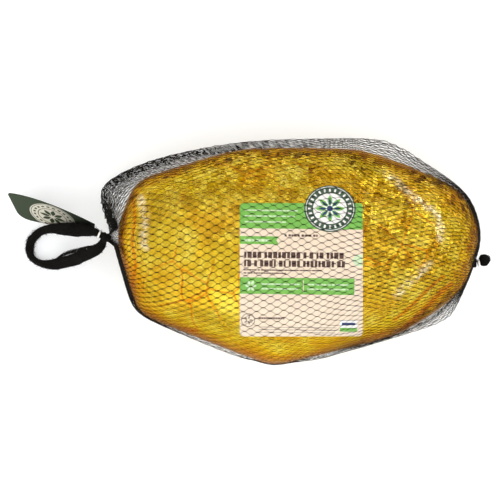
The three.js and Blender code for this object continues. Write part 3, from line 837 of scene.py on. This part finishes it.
def petals(x, y, inner, outer, count, width, squash=1.0):
    """Lens-shaped petals round a middle, each from an inner to an outer radius."""
    share = np.linspace(0, 1, 9)
    half = width * np.sin(np.pi * share)
    reach = inner + (outer - inner) * share
    outlines = []
    for turn in np.arange(count) * 2 * np.pi / count:
        along, aside = np.array([np.cos(turn), np.sin(turn)]), np.array([-np.sin(turn), np.cos(turn)])
        left = reach[:, None] * along + half[:, None] * aside
        right = reach[:, None] * along - half[:, None] * aside
        ring = np.concatenate([left, right[-2:0:-1]])
        outlines.append(ring * [1, squash] + [x, y])
    return outlines


def dash_ring(x, y, reach, across, up, count, squash=1.0):
    """Bars of one size set evenly round a middle, at a reach from it."""
    dash = bar(-across / 2, -up / 2, across / 2, up / 2) + [0, reach]
    outlines = []
    for turn in np.radians(np.arange(0, 360, 360 / count)):
        spin = np.array([[np.cos(turn), -np.sin(turn)], [np.sin(turn), np.cos(turn)]])
        outlines.append(dash @ spin * [1, squash] + [x, y])
    return outlines


def inked(ink, outlines):
    """Fields of one ink."""
    return [(ink, outline) for outline in outlines]


def stepped(outline, longest):
    """The same outline with its long sides divided, so that they can bend with the sheet."""
    sides = np.roll(outline, -1, axis=0) - outline
    counts = np.ceil(np.linalg.norm(sides, axis=1) / longest).astype(int)
    share = np.concatenate([np.arange(count) / count for count in counts])
    return np.repeat(outline, counts, axis=0) + share[:, None] * np.repeat(sides, counts, axis=0)


def printed_sheet(outlines, fields, spacing):
    """Plan points, triangles and inks of a sheet, all in millimetres.

    outlines are the shapes whose union is the sheet, and fields are (ink, outline) pairs.
    """
    shapes = [stepped(outline, spacing) for outline in [*outlines, *(shape for _, shape in fields)]]
    corners = np.concatenate(outlines)
    low, high = corners.min(0), corners.max(0)
    x, y = np.meshgrid(np.arange(low[0], high[0], spacing), np.arange(low[1], high[1], spacing))
    grid = np.column_stack([(x + (np.arange(len(x)) % 2)[:, None] * spacing / 2).ravel(), y.ravel()])
    points = np.concatenate([*shapes, grid])
    edges, first = [], 0
    for shape in shapes:
        number = first + np.arange(len(shape))
        edges += zip(number.tolist(), np.roll(number, -1).tolist())
        first += len(shape)
    plan, _, faces, *_ = delaunay_2d_cdt([Vector(point) for point in points.tolist()], edges, [], 0, 1e-4)
    plan, triangles = np.array(plan), np.array(faces)
    middles = plan[triangles].mean(1)
    kept = np.any([inside(middles, outline) for outline in outlines], axis=0)
    triangles, middles = triangles[kept], middles[kept]
    inks = np.zeros(len(triangles), int)
    for ink, outline in fields:
        inks[inside(middles, outline)] = ink
    used, renumbered = np.unique(triangles, return_inverse=True)
    triangles = renumbered.reshape(-1, 3)
    plan = plan[used]
    a, b, c = np.moveaxis(plan[triangles], 1, 0)
    area = (b - a)[:, 0] * (c - a)[:, 1] - (b - a)[:, 1] * (c - a)[:, 0]
    triangles[area < 0] = triangles[area < 0][:, ::-1]
    return plan, triangles, inks


def sheet_piece(name, upper, lower, triangles, inks, materials):
    """A closed sheet: its printed face, its plain underside, and walls round its edge."""
    count = len(upper)
    edges = np.concatenate([triangles[:, [0, 1]], triangles[:, [1, 2]], triangles[:, [2, 0]]])
    _, index, uses = np.unique(np.sort(edges, axis=1), axis=0, return_index=True, return_counts=True)
    rim = edges[index[uses == 1]]
    walls = np.column_stack([rim[:, 1], rim[:, 0], rim[:, 0] + count, rim[:, 1] + count])
    faces = [triangles, triangles[:, ::-1] + count, walls]
    slots = np.concatenate([inks, np.zeros(len(triangles) + len(walls))])
    piece = new_piece(name, np.concatenate([upper, lower]), faces, materials, slots)
    piece.data.set_sharp_from_angle(angle=np.radians(50))
    return piece


def printed_paper(name, colour):
    """Coated paper in one ink, with a faint mottle and the soft unevenness of paper over foil."""
    material, tree, shader = finish(name, colour, 0.42, Coat_Weight=0.12, Coat_Roughness=0.3)
    place = object_place(tree)
    thin_ink = tuple(0.9 * np.array(colour))
    mottle = ramp(tree, noise(tree, place, 160, 4), [(0.35, thin_ink), (0.65, colour)])
    tree.links.new(mottle, shader.inputs["Base Color"])
    tree.links.new(bump(tree, noise(tree, place, 500, 4), 0.1 * MM, 0.4), shader.inputs["Normal"])
    return material


# %% [markdown]
# ## The label
# A cream paper label with green bands lies on the foil's crown, and a round seal stands over its
# back edge. Paper this size follows the ham and shows the larger dents under it, so its points get
# their heights from the ham's own surface, less a shallow relief.

# %% Label fields
INK_COLOURS = {
    "label_paper": (0.85, 0.7, 0.54),
    "ink_leaf_green": (0.17, 0.48, 0.065),
    "ink_forest_green": (0.035, 0.085, 0.045),
    "ink_brown": (0.075, 0.03, 0.02),
    "ink_pale_green": (0.6, 0.78, 0.5),
    "ink_white": (0.9, 0.9, 0.88),
    "ink_navy": (0.012, 0.035, 0.14),
    "ink_grey": (0.3, 0.26, 0.22),
}
PAPER, LEAF, FOREST, BROWN, PALE, WHITE, NAVY, GREY = range(len(INK_COLOURS))
PRINT_TURN = np.radians(-0.7)
LABEL_MIDDLE = np.array([6.2, -13.8])
BROWN_ROWS = [  # left, right, bottom, height, longest dash and seed
    (-7, 18.6, 11.9, 1.7, 2.6, 5),
    (-38.2, 41.6, -5, 4.8, 3.4, 6),
    (-38.2, 40, -11.6, 4.8, 3.4, 8),
    (-38.5, 22.5, -14.8, 1, 2.4, 9),
    (-38.5, -5.7, -17.2, 1, 2.4, 10),
]
BADGE = -34.5, -53.3
seal_x, seal_y, seal_across, seal_up = np.array([SEAL_X, SEAL_Y, SEAL_ACROSS, SEAL_UP]) / MM


def seal_oval(share):
    """An outline like the seal's, at a share of its size."""
    return oval(seal_x, seal_y, seal_across * share, seal_up * share)


def label_fields():
    """Every printed field of the label, in the order of printing."""
    # the green top band, with three rows of dashes
    fields = [(LEAF, bar(-45, 17.9, 58, 42))]
    for level, right, seed in ((31.4, 3.5, 1), (27, 0.8, 2), (22.5, -6, 3)):
        fields += inked(PALE, dashes(-38, right, level, 1.1, 3.4, seed))
    # a notched ribbon, the brown rows beside and under it, and a pointed flash at the right edge
    ribbon = [[-45, 5.7], [-11.4, 5.7], [-13.4, 8.8], [-11.4, 11.9], [-45, 11.9]]
    fields.append((LEAF, np.array(ribbon)))
    fields += inked(PALE, dashes(-38.4, -16.5, 7.7, 2, 3.2, 4))
    for row in BROWN_ROWS:
        fields += inked(BROWN, dashes(*row))
    fields.append((PALE, np.array([[45.2, -6], [49, -10.5], [58, -10.5], [58, -1.6], [49, -1.6]])))
    # the green lower band, with a rosette and two columns of dashes
    fields += [(LEAF, bar(-45, -32.9, 47.6, -20.1)), (PAPER, bar(7.7, -31, 8.3, -22))]
    fields += inked(PALE, petals(-32.8, -26.6, 0.8, 4.6, 6, 1.1))
    for left, right in ((-24.5, 5), (11, 43.5)):
        for level, seed in ((-25.8, 11), (-29.4, 12)):
            fields += inked(PALE, dashes(left, right, level, 1.2, 3, seed + left))
    # the foot: a round badge, small print and a white box
    fields += [(GREY, oval(*BADGE, 5.4, 5.4)), (PAPER, oval(*BADGE, 4.7, 4.7))]
    fields += inked(GREY, petals(*BADGE, 0.6, 3.8, 5, 0.8))
    fields += inked(BROWN, dashes(-26.4, -6.4, -52.4, 1.5, 2, 13))
    for level, seed in ((-58.8, 14), (-60.8, 15), (-62.8, 16)):
        fields += inked(GREY, dashes(-26, 34, level, 0.55, 1.8, seed))
    fields += [(WHITE, bar(36.8, -61.5, 50.1, -52.5)), (LEAF, bar(36.8, -61.5, 50.1, -58.4))]
    fields.append((NAVY, bar(38.2, -56.4, 48.7, -54.4)))
    cos, sin = np.cos(PRINT_TURN), np.sin(PRINT_TURN)
    turned = np.array([[cos, sin], [-sin, cos]])
    return [(ink, (outline - LABEL_MIDDLE) @ turned + LABEL_MIDDLE) for ink, outline in fields]


def seal_fields():
    """The round seal: a dark ring of dashes round a white middle with a rosette."""
    rings = ((FOREST, 1.01), (WHITE, 0.95), (FOREST, 0.925), (WHITE, 0.665))
    fields = [(ink, seal_oval(share)) for ink, share in rings]
    squash = seal_up / seal_across
    reach = seal_across * 0.795
    fields += inked(WHITE, dash_ring(seal_x, seal_y, reach, 1.5, 2.6, 24, squash))
    fields += inked(LEAF, petals(seal_x, seal_y, 2, 11.6, 8, 1.9, squash))
    fields += inked(NAVY, petals(seal_x, seal_y, 2.6, 9, 8, 1.0, squash))
    fields.append((NAVY, oval(seal_x, seal_y, 2.4, 2.4 * squash, 24)))
    return fields


# %% Label piece
LABEL_SINK, PAPER_THICKNESS = 0.78 * MM, 0.22 * MM
CORNER_RADIUS, LABEL_SPACING = 3, 1.9
SHEET_DENT, MOST_DENT = 21 * MM, 1.2 * MM
CREASE_CELL, CREASE_WIDTH, CREASE_DEPTH = 26 * MM, 2.2 * MM, 0.16 * MM
left, right, front, back = np.array([LABEL_LEFT, LABEL_RIGHT, LABEL_FRONT, LABEL_BACK]) / MM
quarter = np.linspace(0, np.pi / 2, 7)
corner = CORNER_RADIUS * np.column_stack([np.cos(quarter), np.sin(quarter)])
label_outline = np.concatenate([
    corner[::-1] * [1, -1] + [right - CORNER_RADIUS, front + CORNER_RADIUS],
    corner + [right - CORNER_RADIUS, back - CORNER_RADIUS],
    corner[::-1] * [-1, 1] + [left + CORNER_RADIUS, back - CORNER_RADIUS],
    corner * [-1, -1] + [left + CORNER_RADIUS, front + CORNER_RADIUS],
])
label_plan, label_triangles, label_inks = printed_sheet(
    [label_outline, seal_oval(1)], label_fields() + seal_fields(), LABEL_SPACING
)
x, y = label_plan.T * MM
label_place = np.column_stack([x, y, top_level(x, y, np.zeros(len(x)))])
dents = facets(label_place, SHEET_DENT, 0.05, 0.02)
dents = (dents.max() - dents) * SHEET_DENT
dents = dents + CREASE_DEPTH * creases(label_place, CREASE_CELL, CREASE_WIDTH)
upper = label_place.copy()
upper[:, 2] = top_level(x, y, LABEL_SINK + 0.5 * np.minimum(dents, MOST_DENT))
lower = upper - [0, 0, PAPER_THICKNESS]
inks = [printed_paper(name, colour) for name, colour in INK_COLOURS.items()]
label = sheet_piece("label_sheet", upper, lower, label_triangles, label_inks, inks)
belongs(label, "label_paper", "label")

# %% [markdown]
# ## The carrying loop
# The handle is the end of the same net, drawn out into a flat bundle and turned back to the clip.
# It is made as a dark core with strands laid round it. Each strand swings a little from side to
# side against its neighbours, so that they meet and part as the stitches of a bunched net do. A
# few loose stitches stray into the gap, short hairs stand out all over, and a ball of wound yarn
# makes the knot at the tie.

# %% The loop's path
LOOP_STATIONS = np.array([
    [-147.6, 12.4, 38, 5, 5],
    [-152.7, 14.6, 37.7, 5, 5],
    [-155, 15.6, 37.5, 6.4, 5],
    [-160.3, 16.9, 35.6, 9.6, 5],
    [-169.7, 17.6, 31, 11.6, 5],
    [-180.5, 17.9, 21, 9.4, 5],
    [-187.4, 18.4, 14.6, 7.6, 5],
    [-193.1, 17.6, 9.6, 6.6, 5.4],
    [-198.5, 15.4, 6.2, 6.2, 6],
    [-202.4, 12.1, 4.4, 6.6, 6],
    [-205.1, 8.3, 3.6, 6.7, 6],
    [-206.1, 3.8, 3.4, 6.6, 6],
    [-206, -0.4, 3.5, 5.8, 6.2],
    [-204.3, -4.4, 3.9, 4.8, 6.8],
    [-200.6, -7.6, 4.6, 4.6, 7.2],
    [-193.8, -9.6, 6.4, 6.4, 6.4],
    [-184.9, -9.8, 10.4, 8, 5.4],
    [-177.2, -7.6, 15.6, 9.8, 5],
    [-169.3, -5.3, 21.4, 10, 5],
    [-158.7, -1, 29.4, 9, 5],
    [-153.7, 1.6, 33, 8.4, 5],
    [-149.6, 5.2, 35.8, 7, 5],
    [-147.8, 9.6, 37.6, 5, 4.8],
]) * MM


def smooth_route(stations, steps):
    """Points of a centripetal Catmull-Rom curve: cubics whose end slopes come from root distances."""
    ends = [2 * stations[:1] - stations[1:2], stations, 2 * stations[-1:] - stations[-2:-1]]
    knots = np.concatenate(ends)
    gap = np.sqrt(np.linalg.norm(np.diff(knots, axis=0), axis=-1))[:, None]
    slope = np.diff(knots, axis=0) / gap
    wide = (knots[2:] - knots[:-2]) / (gap[1:] + gap[:-1])
    tangent = slope[:-1] - wide + slope[1:]
    place = np.linspace(0, len(stations) - 1, steps)
    segment = np.minimum(place.astype(int), len(stations) - 2)
    t = (place - segment)[:, None]
    start, stop, width = stations[segment], stations[segment + 1], gap[segment + 1]
    leave, arrive = tangent[segment] * width, tangent[segment + 1] * width
    curve = start * (2 * t**3 - 3 * t**2 + 1) + stop * (3 * t**2 - 2 * t**3)
    return curve + leave * (t**3 - 2 * t**2 + t) + arrive * (t**3 - t**2), place


LOOP_RINGS = 200
loop_route, loop_place = smooth_route(LOOP_STATIONS[:, :3], LOOP_RINGS)
station_numbers = np.arange(len(LOOP_STATIONS))
loop_width = np.interp(loop_place, station_numbers, LOOP_STATIONS[:, 3])
loop_depth = np.interp(loop_place, station_numbers, LOOP_STATIONS[:, 4])
loop_along = unit(np.gradient(loop_route, axis=0))
loop_across, loop_over = axes_across(loop_along)
loop_length = np.append(0, np.cumsum(np.linalg.norm(np.diff(loop_route, axis=0), axis=-1)))
print("loop length mm", loop_length[-1] / MM)

# %% Strands of the loop
LOOP_STRANDS, STRAND_RADIUS, STRAND_SIDES = 46, 0.33 * MM, 5
CORE_SIDES, CORE_SHARE = 20, 0.8
STITCH = 11 * MM


def round_loop(turn, share):
    """Points on the bundle's oval section at angles turn (strands, rings) and a share of its size."""
    aside = (loop_width / 2 * share)[..., None] * np.cos(turn)[..., None] * loop_across
    above = (loop_depth / 2 * share)[..., None] * np.sin(turn)[..., None] * loop_over
    return loop_route + aside + above


strand = np.arange(LOOP_STRANDS)[:, None]
swing = np.pi / LOOP_STRANDS * np.where(strand % 2 == 0, 1, -1)
phase = 2 * np.pi * loop_length / STITCH + 0.8 * np.sin(strand * 0.7)
strand_turn = 2 * np.pi * strand / LOOP_STRANDS + swing * 0.9 * np.sin(phase)
strand_share = 0.93 - 0.09 * repeatable(strand, 5, 1, 2) + 0.06 * np.sin(phase * 0.5 + strand)
strand_paths = round_loop(strand_turn, strand_share)
core_turn = np.linspace(0, 2 * np.pi, CORE_SIDES, endpoint=False)[:, None]
core_grid = round_loop(core_turn, np.full((CORE_SIDES, LOOP_RINGS), CORE_SHARE))
core_numbers = np.arange(LOOP_RINGS * CORE_SIDES).reshape(LOOP_RINGS, CORE_SIDES)
core_faces = [grid_faces(core_numbers), core_numbers[:1, ::-1], core_numbers[-1:]]

# %% Loose stitches
LOOSE_STRANDS, LOOSE_RADIUS = 22, 0.2 * MM
loose = np.arange(LOOSE_STRANDS)[:, None]
window = np.sin(np.pi * smooth(0.66, 0.95, np.linspace(0, 1, LOOP_RINGS)))
stray = (0.12 + 0.44 * repeatable(loose, 8, 1, 1)) * window
stray = stray * (1 + 0.5 * np.sin(2 * np.pi * loop_length / (7 * MM) + loose * 2.4))
loose_turn = 0.35 * (repeatable(loose, 3, 3, 1) - 0.5) + 0 * loop_length
loose_paths = round_loop(loose_turn, 0.95 + stray)
loose_side = np.broadcast_to(loop_over, loose_paths.shape)

# %% Hairs of yarn
HAIRS, HAIR_OUT, HAIR_ALONG = 1100, 2.1 * MM, 3 * MM
HAIR_RADIUS, HAIR_SIDES = 0.13 * MM, 3
hair = np.arange(HAIRS)
root_strand = hair % LOOP_STRANDS
root_ring = (3 + (LOOP_RINGS - 6) * repeatable(hair, 1, 4, 2)).astype(int)
hair_root = strand_paths[root_strand, root_ring]
hair_out = unit(hair_root - loop_route[root_ring])
hair_reach = hair_out * HAIR_OUT * (0.3 + 0.7 * repeatable(hair, 2, 4, 2))[:, None] ** 2
hair_slant = loop_along[root_ring] * HAIR_ALONG * (2 * repeatable(hair, 3, 4, 2) - 1)[:, None]
hair_go = np.array([0, 0.55, 1])[None, :, None]
hair_paths = hair_root[:, None] + hair_reach[:, None] * hair_go + hair_slant[:, None] * hair_go**2
hair_paths[..., 2] = np.maximum(hair_paths[..., 2], NET_FLOOR)
hair_side = np.broadcast_to(loop_over[root_ring][:, None] + 0.3 * hair_out[:, None], hair_paths.shape)

# %% The knot, and the whole bundle
KNOT_CENTRE, KNOT_HALF = np.array([-147.2, 11.2, 38]) * MM, np.array([2.5, 4.6, 4.6]) * MM
KNOT_YARN, KNOT_WINDS, KNOT_STEPS = 0.45 * MM, 9, 260
wound = np.linspace(0, 1, KNOT_STEPS)[None]
knot_direction = polar_direction(np.pi * wound, 2 * np.pi * KNOT_WINDS * wound)
knot_path = KNOT_CENTRE + knot_direction * (KNOT_HALF - KNOT_YARN)
loop_points, loop_faces = joined([
    (np.moveaxis(core_grid, 0, 1).reshape(-1, 3), core_faces),
    tube_arrays(strand_paths, STRAND_RADIUS, unit(strand_paths - loop_route), STRAND_SIDES),
    tube_arrays(loose_paths, LOOSE_RADIUS, loose_side, YARN_SIDES),
    tube_arrays(hair_paths, HAIR_RADIUS, hair_side, HAIR_SIDES),
    tube_arrays(knot_path, KNOT_YARN, knot_direction, STRAND_SIDES),
])
carrying = new_piece("carrying_bundle", loop_points, loop_faces, [yarn])
belongs(carrying, "black_net", "carrying_loop")

# %% [markdown]
# ## Clips
# Each clip is a strip of soft metal bent round the net and crimped. Its section is a rounded
# rectangle carried round a rounded square. The crimp presses a shallow dent into two of its sides.

# %% Clip pieces
CLIP_WALL, CLIP_STRIP, FIT_GAP = 0.8 * MM, 1.6 * MM, 0.3 * MM
CLIP_CORNER, STRIP_CORNER = 2 * MM, 0.25 * MM
CRIMP_DEPTH, CRIMP_HALF = 0.28 * MM, 1.1 * MM
CLIP_STEPS, STRIP_STEPS = 64, 20
LEFT_CLIP_REACH, RIGHT_CLIP_HALF = 3.9 * MM, 2.3 * MM
RIGHT_CLIP_RISE, TAIL_RISE, TAIL_DROP = np.radians([12, 25, 7])


def clip_metal():
    """Bright rolled strip with fine lines along the roll and small scuffs."""
    material, tree, shader = finish("clip_metal", (0.86, 0.85, 0.82), 0.45, 0.75)
    place = object_place(tree)
    tree.links.new(span(tree, noise(tree, place, 900, 4), 0.34, 0.55), shader.inputs["Roughness"])
    scuffs = bump(tree, noise(tree, place, 2600, 3, 0.4), 0.05 * MM, 0.6)
    tree.links.new(scuffs, shader.inputs["Normal"])
    return material


def rounded_square(half, corner, turn):
    """A superellipse, (|x|^p + |y|^p)^(-1/p), and its outward directions; p grows as corners tighten."""
    power = 2 + 2.2 * (half.mean() / corner - 1)
    x, y = np.cos(turn), np.sin(turn)
    reach = (np.abs(x) ** power + np.abs(y) ** power) ** (-1 / power)
    slope = np.stack([np.sign(x) * np.abs(x * reach) ** (power - 1) / half[0],
                      np.sign(y) * np.abs(y * reach) ** (power - 1) / half[1]], -1)
    return np.stack([x * reach * half[0], y * reach * half[1]], -1), unit(slope)


def clip(name, place, along, inside_half):
    """A crimped ring round a bundle at a place, with its own axis along the bundle.

    The strip's section is carried round the ring. The crimp is a bell curve of the height, which
    presses most in the middle of the strip's width.
    """
    across, over = axes_across(along)
    turn = np.linspace(0, 2 * np.pi, CLIP_STEPS, endpoint=False)
    line, out = rounded_square(inside_half + CLIP_WALL / 2, CLIP_CORNER + CLIP_WALL / 2, turn)
    section_turn = np.linspace(0, 2 * np.pi, STRIP_STEPS, endpoint=False)
    section_half = np.array([CLIP_WALL / 2, CLIP_STRIP / 2])
    section, _ = rounded_square(section_half, STRIP_CORNER, section_turn)
    dent = CRIMP_DEPTH * np.exp(-((np.abs(line[:, 1:]) / CRIMP_HALF) ** 2))
    proud = section[:, 0] - dent * (1 - (section[:, 1] / section_half[1]) ** 2)
    aside = line[:, None] + out[:, None] * proud[..., None]
    depth = np.broadcast_to(section[:, 1], proud.shape)[..., None]
    points = place + aside[..., :1] * across + aside[..., 1:] * over + depth * along
    numbers = np.arange(CLIP_STEPS * STRIP_STEPS).reshape(CLIP_STEPS, STRIP_STEPS)
    faces = grid_faces(np.vstack([numbers, numbers[:1]]))
    return new_piece(name, points.reshape(-1, 3), [faces], [clip_metal()])


def out_of_tie(rise):
    """The way out of the right-hand tie: up the plan by an angle, and a little down."""
    return unit(np.array([np.cos(rise), np.sin(rise), -np.tan(TAIL_DROP)]))


left_half = LOOP_STATIONS[0, 3:] / 2 + FIT_GAP
left_place = LOOP_STATIONS[0, :3] + LEFT_CLIP_REACH * loop_along[0]
belongs(clip("clip_left", left_place, loop_along[0], left_half), "clip_metal", "left_clip")
clip_along, tail_along = out_of_tie(RIGHT_CLIP_RISE), out_of_tie(TAIL_RISE)
right_place, right_half = RIGHT_TIE + clip_along * CLIP_STRIP / 2, np.full(2, RIGHT_CLIP_HALF)
belongs(clip("clip_right", right_place, clip_along, right_half), "clip_metal", "right_clip")

# %% [markdown]
# ## The card tag
# A stiff dark green card with a bowed top edge. Its low corner, the heel, is near the free tip, and
# it narrows to the tie. It is printed the same way as the label, with a round mark: a cream ring
# crossed by dark dashes, round a cream disc with a dark rosette.

# %% Tag outline
TAG_TIP, TAG_ROOT = np.array([-223.2, 46.6, 31.3]) * MM, np.array([-154.6, 21.9, 38.5]) * MM
TAG_ROOT_WIDTH, TAG_THICKNESS, TAG_LEAN = 17, 0.6, np.radians(65)
TAG_CREST, TAG_HEEL, HEEL_ROUND, TIP_ROUND = np.array([29, 12.8]), np.array([12.7, -36.4]), 11.5, 3.6
tag_length = np.linalg.norm(TAG_ROOT - TAG_TIP) / MM


def bend(start, control, stop, points=10):
    """A quadratic curve from start to stop, pulled towards a control point."""
    t = np.linspace(0, 1, points)[:, None]
    return (1 - t) ** 2 * np.array(start) + 2 * t * (1 - t) * np.array(control) + t**2 * np.array(stop)


def round_corner(before, corner, after, size):
    """A corner as a curve that leaves and meets its two sides a size away from it."""
    return bend(corner + size * unit(before - corner), corner, corner + size * unit(after - corner))


tag_tip, tag_root = np.zeros(2), np.array([tag_length, 0])
tag_foot = tag_root - [0, TAG_ROOT_WIDTH]
tip_corner = round_corner(TAG_HEEL, tag_tip, TAG_CREST, TIP_ROUND)
tag_outline = np.concatenate([
    [tag_root, tag_foot],
    round_corner(tag_foot, TAG_HEEL, tag_tip, HEEL_ROUND),
    tip_corner,
    bend(tip_corner[-1], TAG_CREST, tag_root, 24)[1:-1],
])

# %% Tag print
CARD, CREAM = 0, 1
MARK, TAG_SPACING = (38.7, -13.4), 2.2
MARK_RINGS = ((CREAM, 19.2), (CARD, 18.2), (CREAM, 17.7), (CARD, 12.4), (CREAM, 11.7))
tag_fields = [(ink, oval(*MARK, radius, radius)) for ink, radius in MARK_RINGS]
tag_fields += inked(CARD, dash_ring(*MARK, 15.1, 2.6, 1.9, 20))
tag_fields += inked(CARD, petals(*MARK, 1.9, 10.8, 8, 2))
tag_plan, tag_triangles, tag_inks = printed_sheet([tag_outline], tag_fields, TAG_SPACING)

tag_along = unit(TAG_ROOT - TAG_TIP)
level, upright = axes_across(tag_along)
tag_across = level * np.cos(TAG_LEAN) + upright * np.sin(TAG_LEAN)
tag_out = np.cross(tag_along, tag_across)
tag_back = TAG_TIP + tag_plan[:, :1] * MM * tag_along + tag_plan[:, 1:] * MM * tag_across
tag_front = tag_back + tag_out * TAG_THICKNESS * MM

# %% Tag piece
TAG_DARKENING = -0.195, -0.162  # the card goes dark between these two places along X


def tag_ink(name, colour):
    """Coated card whose colour darkens towards the tie, to nearly black."""
    material, tree, shader = finish(name, colour, 0.55, Specular_IOR_Level=0.15)
    place = object_place(tree)
    split = add_node(tree, "ShaderNodeSeparateXYZ", links={"Vector": place})
    along = span(tree, split.outputs["X"], 0, 1, *TAG_DARKENING)
    dark = tuple(0.12 * np.array(colour))
    tree.links.new(ramp(tree, along, [(0.0, colour), (1.0, dark)]), shader.inputs["Base Color"])
    tree.links.new(bump(tree, noise(tree, place, 700, 3), 0.06 * MM, 0.5), shader.inputs["Normal"])
    return material


card_inks = [tag_ink("tag_card", (0.02, 0.035, 0.012)), tag_ink("tag_cream", (0.55, 0.53, 0.44))]
tag = sheet_piece("tag_sheet", tag_front, tag_back, tag_triangles, tag_inks, card_inks)
belongs(tag, "tag_card", "tag")

# %% [markdown]
# ## Necks and the cut tail
# At each tie the chains run into a gathered neck, which a dark plug fills. Beyond the right-hand
# clip the net was cut off: its ends spread into a ragged tuft.

# %% Tail strands
TAIL_STRANDS, TAIL_LENGTH, TAIL_YARN, TAIL_STEPS = 180, 11.2 * MM, 0.25 * MM, 12
TAIL_SHARES = [0, 0.19, 0.34, 0.52, 0.7, 0.9, 1]
TAIL_RADII = np.array([1.8, 1.8, 3.9, 5.1, 5.2, 4.4, 3.2]) * MM
GOLDEN_ANGLE = np.pi * (3 - np.sqrt(5))
tail_across, tail_over = axes_across(tail_along)
fibre = np.arange(TAIL_STRANDS)[:, None]
go = np.linspace(0, 1, TAIL_STEPS)[None]
fibre_turn = fibre * GOLDEN_ANGLE + 0.9 * (repeatable(fibre, 2, 1, 1) - 0.5) * go
packed = np.sqrt((fibre + 0.5) / TAIL_STRANDS)
fibre_length = TAIL_LENGTH * (1 - 0.2 * packed**3 - 0.24 * repeatable(fibre, 9, 2, 1))
flare = np.interp(go, TAIL_SHARES, TAIL_RADII - TAIL_YARN)
fibre_out = packed * flare * (1 - 0.25 * np.sin(9 * go + 5 * fibre) ** 2 * smooth(0.3, 1, go))
fibre_paths = (
    RIGHT_TIE
    + (go * fibre_length)[..., None] * tail_along
    + (fibre_out * np.cos(fibre_turn))[..., None] * tail_across
    + (fibre_out * np.sin(fibre_turn))[..., None] * tail_over
)
fibre_side = np.broadcast_to(tail_over, fibre_paths.shape)
tuft = new_piece("tail_tuft", *tube_arrays(fibre_paths, TAIL_YARN, fibre_side, STRAND_SIDES), [yarn])
belongs(tuft, "black_net", "cut_tail")

# %% Neck plugs
PLUG_REACH, PLUG_RADIUS = np.array([0.8, 2.4, 4, 5.5]) * MM, np.array([2.4, 2.8, 2.6, 1.2]) * MM
PLUG_RINGS, PLUG_SIDES = 14, 32


def neck_plug(tie):
    """A closed, rounded form of revolution that fills a gathered neck."""
    reach = np.linspace(PLUG_REACH[0], PLUG_REACH[-1], PLUG_RINGS)[None]
    path = tie + reach[..., None] * inwards_from(tie)
    size = np.interp(reach, PLUG_REACH, PLUG_RADIUS)
    return tube_arrays(path, size, np.broadcast_to([0.0, 0.0, 1.0], path.shape), PLUG_SIDES)


plugs = new_piece("neck_plugs", *joined([neck_plug(LEFT_TIE), neck_plug(RIGHT_TIE)]), [yarn])
belongs(plugs, "black_net", "netted_ham")

# %% [markdown]
# ## Stage, light and camera
# The floor is pale and glows a little, so that it stays nearly white. Metal shows what it reflects,
# so an even sky would leave the foil flat. This one is stronger overhead and in front, with bright
# patches that make the facets glint, and its darker patches are warmer. A long thin softbox adds a
# line of light. The camera looks straight down through a long lens.

# %% Floor, lights and camera


def softbox(name, place, aim, width, height, power):
    """A rectangular light at a place, turned to face a point."""
    light = bpy.data.lights.new(name, "AREA")
    light.shape, light.size, light.size_y = "RECTANGLE", width, height
    light.energy = power
    lamp = bpy.data.objects.new(name, light)
    bpy.context.scene.collection.objects.link(lamp)
    lamp.location = place
    lamp.rotation_euler = (Vector(aim) - lamp.location).to_track_quat("-Z", "Y").to_euler()


def studio_sky():
    """Soft light, strongest overhead and in front, in uneven patches whose darker parts are warmer."""
    world = bpy.data.worlds.new("studio_sky")
    world.use_nodes = True
    tree = world.node_tree
    towards = add_node(tree, "ShaderNodeTexCoord").outputs["Generated"]
    broad = span(tree, noise(tree, towards, 2.4, 2), 0.62, 1.42, 0.3, 0.7)
    small = span(tree, noise(tree, towards, 9, 2), 0.62, 1.5, 0.35, 0.68)
    split = add_node(tree, "ShaderNodeSeparateXYZ", links={"Vector": towards})
    high = span(tree, split.outputs["Z"], 0.74, 1.27)
    front = span(tree, split.outputs["Y"], 1.5, 0.95, -0.8, 0.1)
    strength = times(tree, times(tree, broad, small), times(tree, high, front))
    tree.links.new(strength, tree.nodes["Background"].inputs["Strength"])
    tint = ramp(tree, span(tree, strength, 0, 1, 0.4, 1.3), [(0.0, (1, 0.82, 0.62)), (1.0, (1, 1, 1))])
    tree.links.new(tint, tree.nodes["Background"].inputs["Color"])
    return world


FLOOR_HALF = 3.0
glow = {"Emission_Color": (0.92, 0.96, 1, 1), "Emission_Strength": 0.28}
floor_material, _, _ = finish("pale_floor", (0.84, 0.86, 0.88), 0.6, **glow)
floor_corners = np.array([[-1, -1, 0], [1, -1, 0], [1, 1, 0], [-1, 1, 0]]) * FLOOR_HALF
floor = new_piece("floor", floor_corners, [np.array([[0, 1, 2, 3]])], [floor_material])

softbox("shoulder", (1.1, 0.9, 0.58), (0.08, 0, 0.1), 1.5, 0.07, 5)
bpy.context.scene.world = studio_sky()
bpy.context.scene.view_settings.view_transform = "Standard"

VIEW_WIDTH = 390 * MM
VIEW_CENTRE = np.array([-43, 2]) * 0.78 * MM
CAMERA_DISTANCE = 12.0
lens = bpy.data.cameras.new("camera")
lens.sensor_width = 36
lens.lens = lens.sensor_width * CAMERA_DISTANCE / VIEW_WIDTH
camera = bpy.data.objects.new("camera", lens)
camera.location = (*VIEW_CENTRE, GIRTH_LEVEL + CAMERA_DISTANCE)
bpy.context.scene.collection.objects.link(camera)
bpy.context.scene.camera = camera
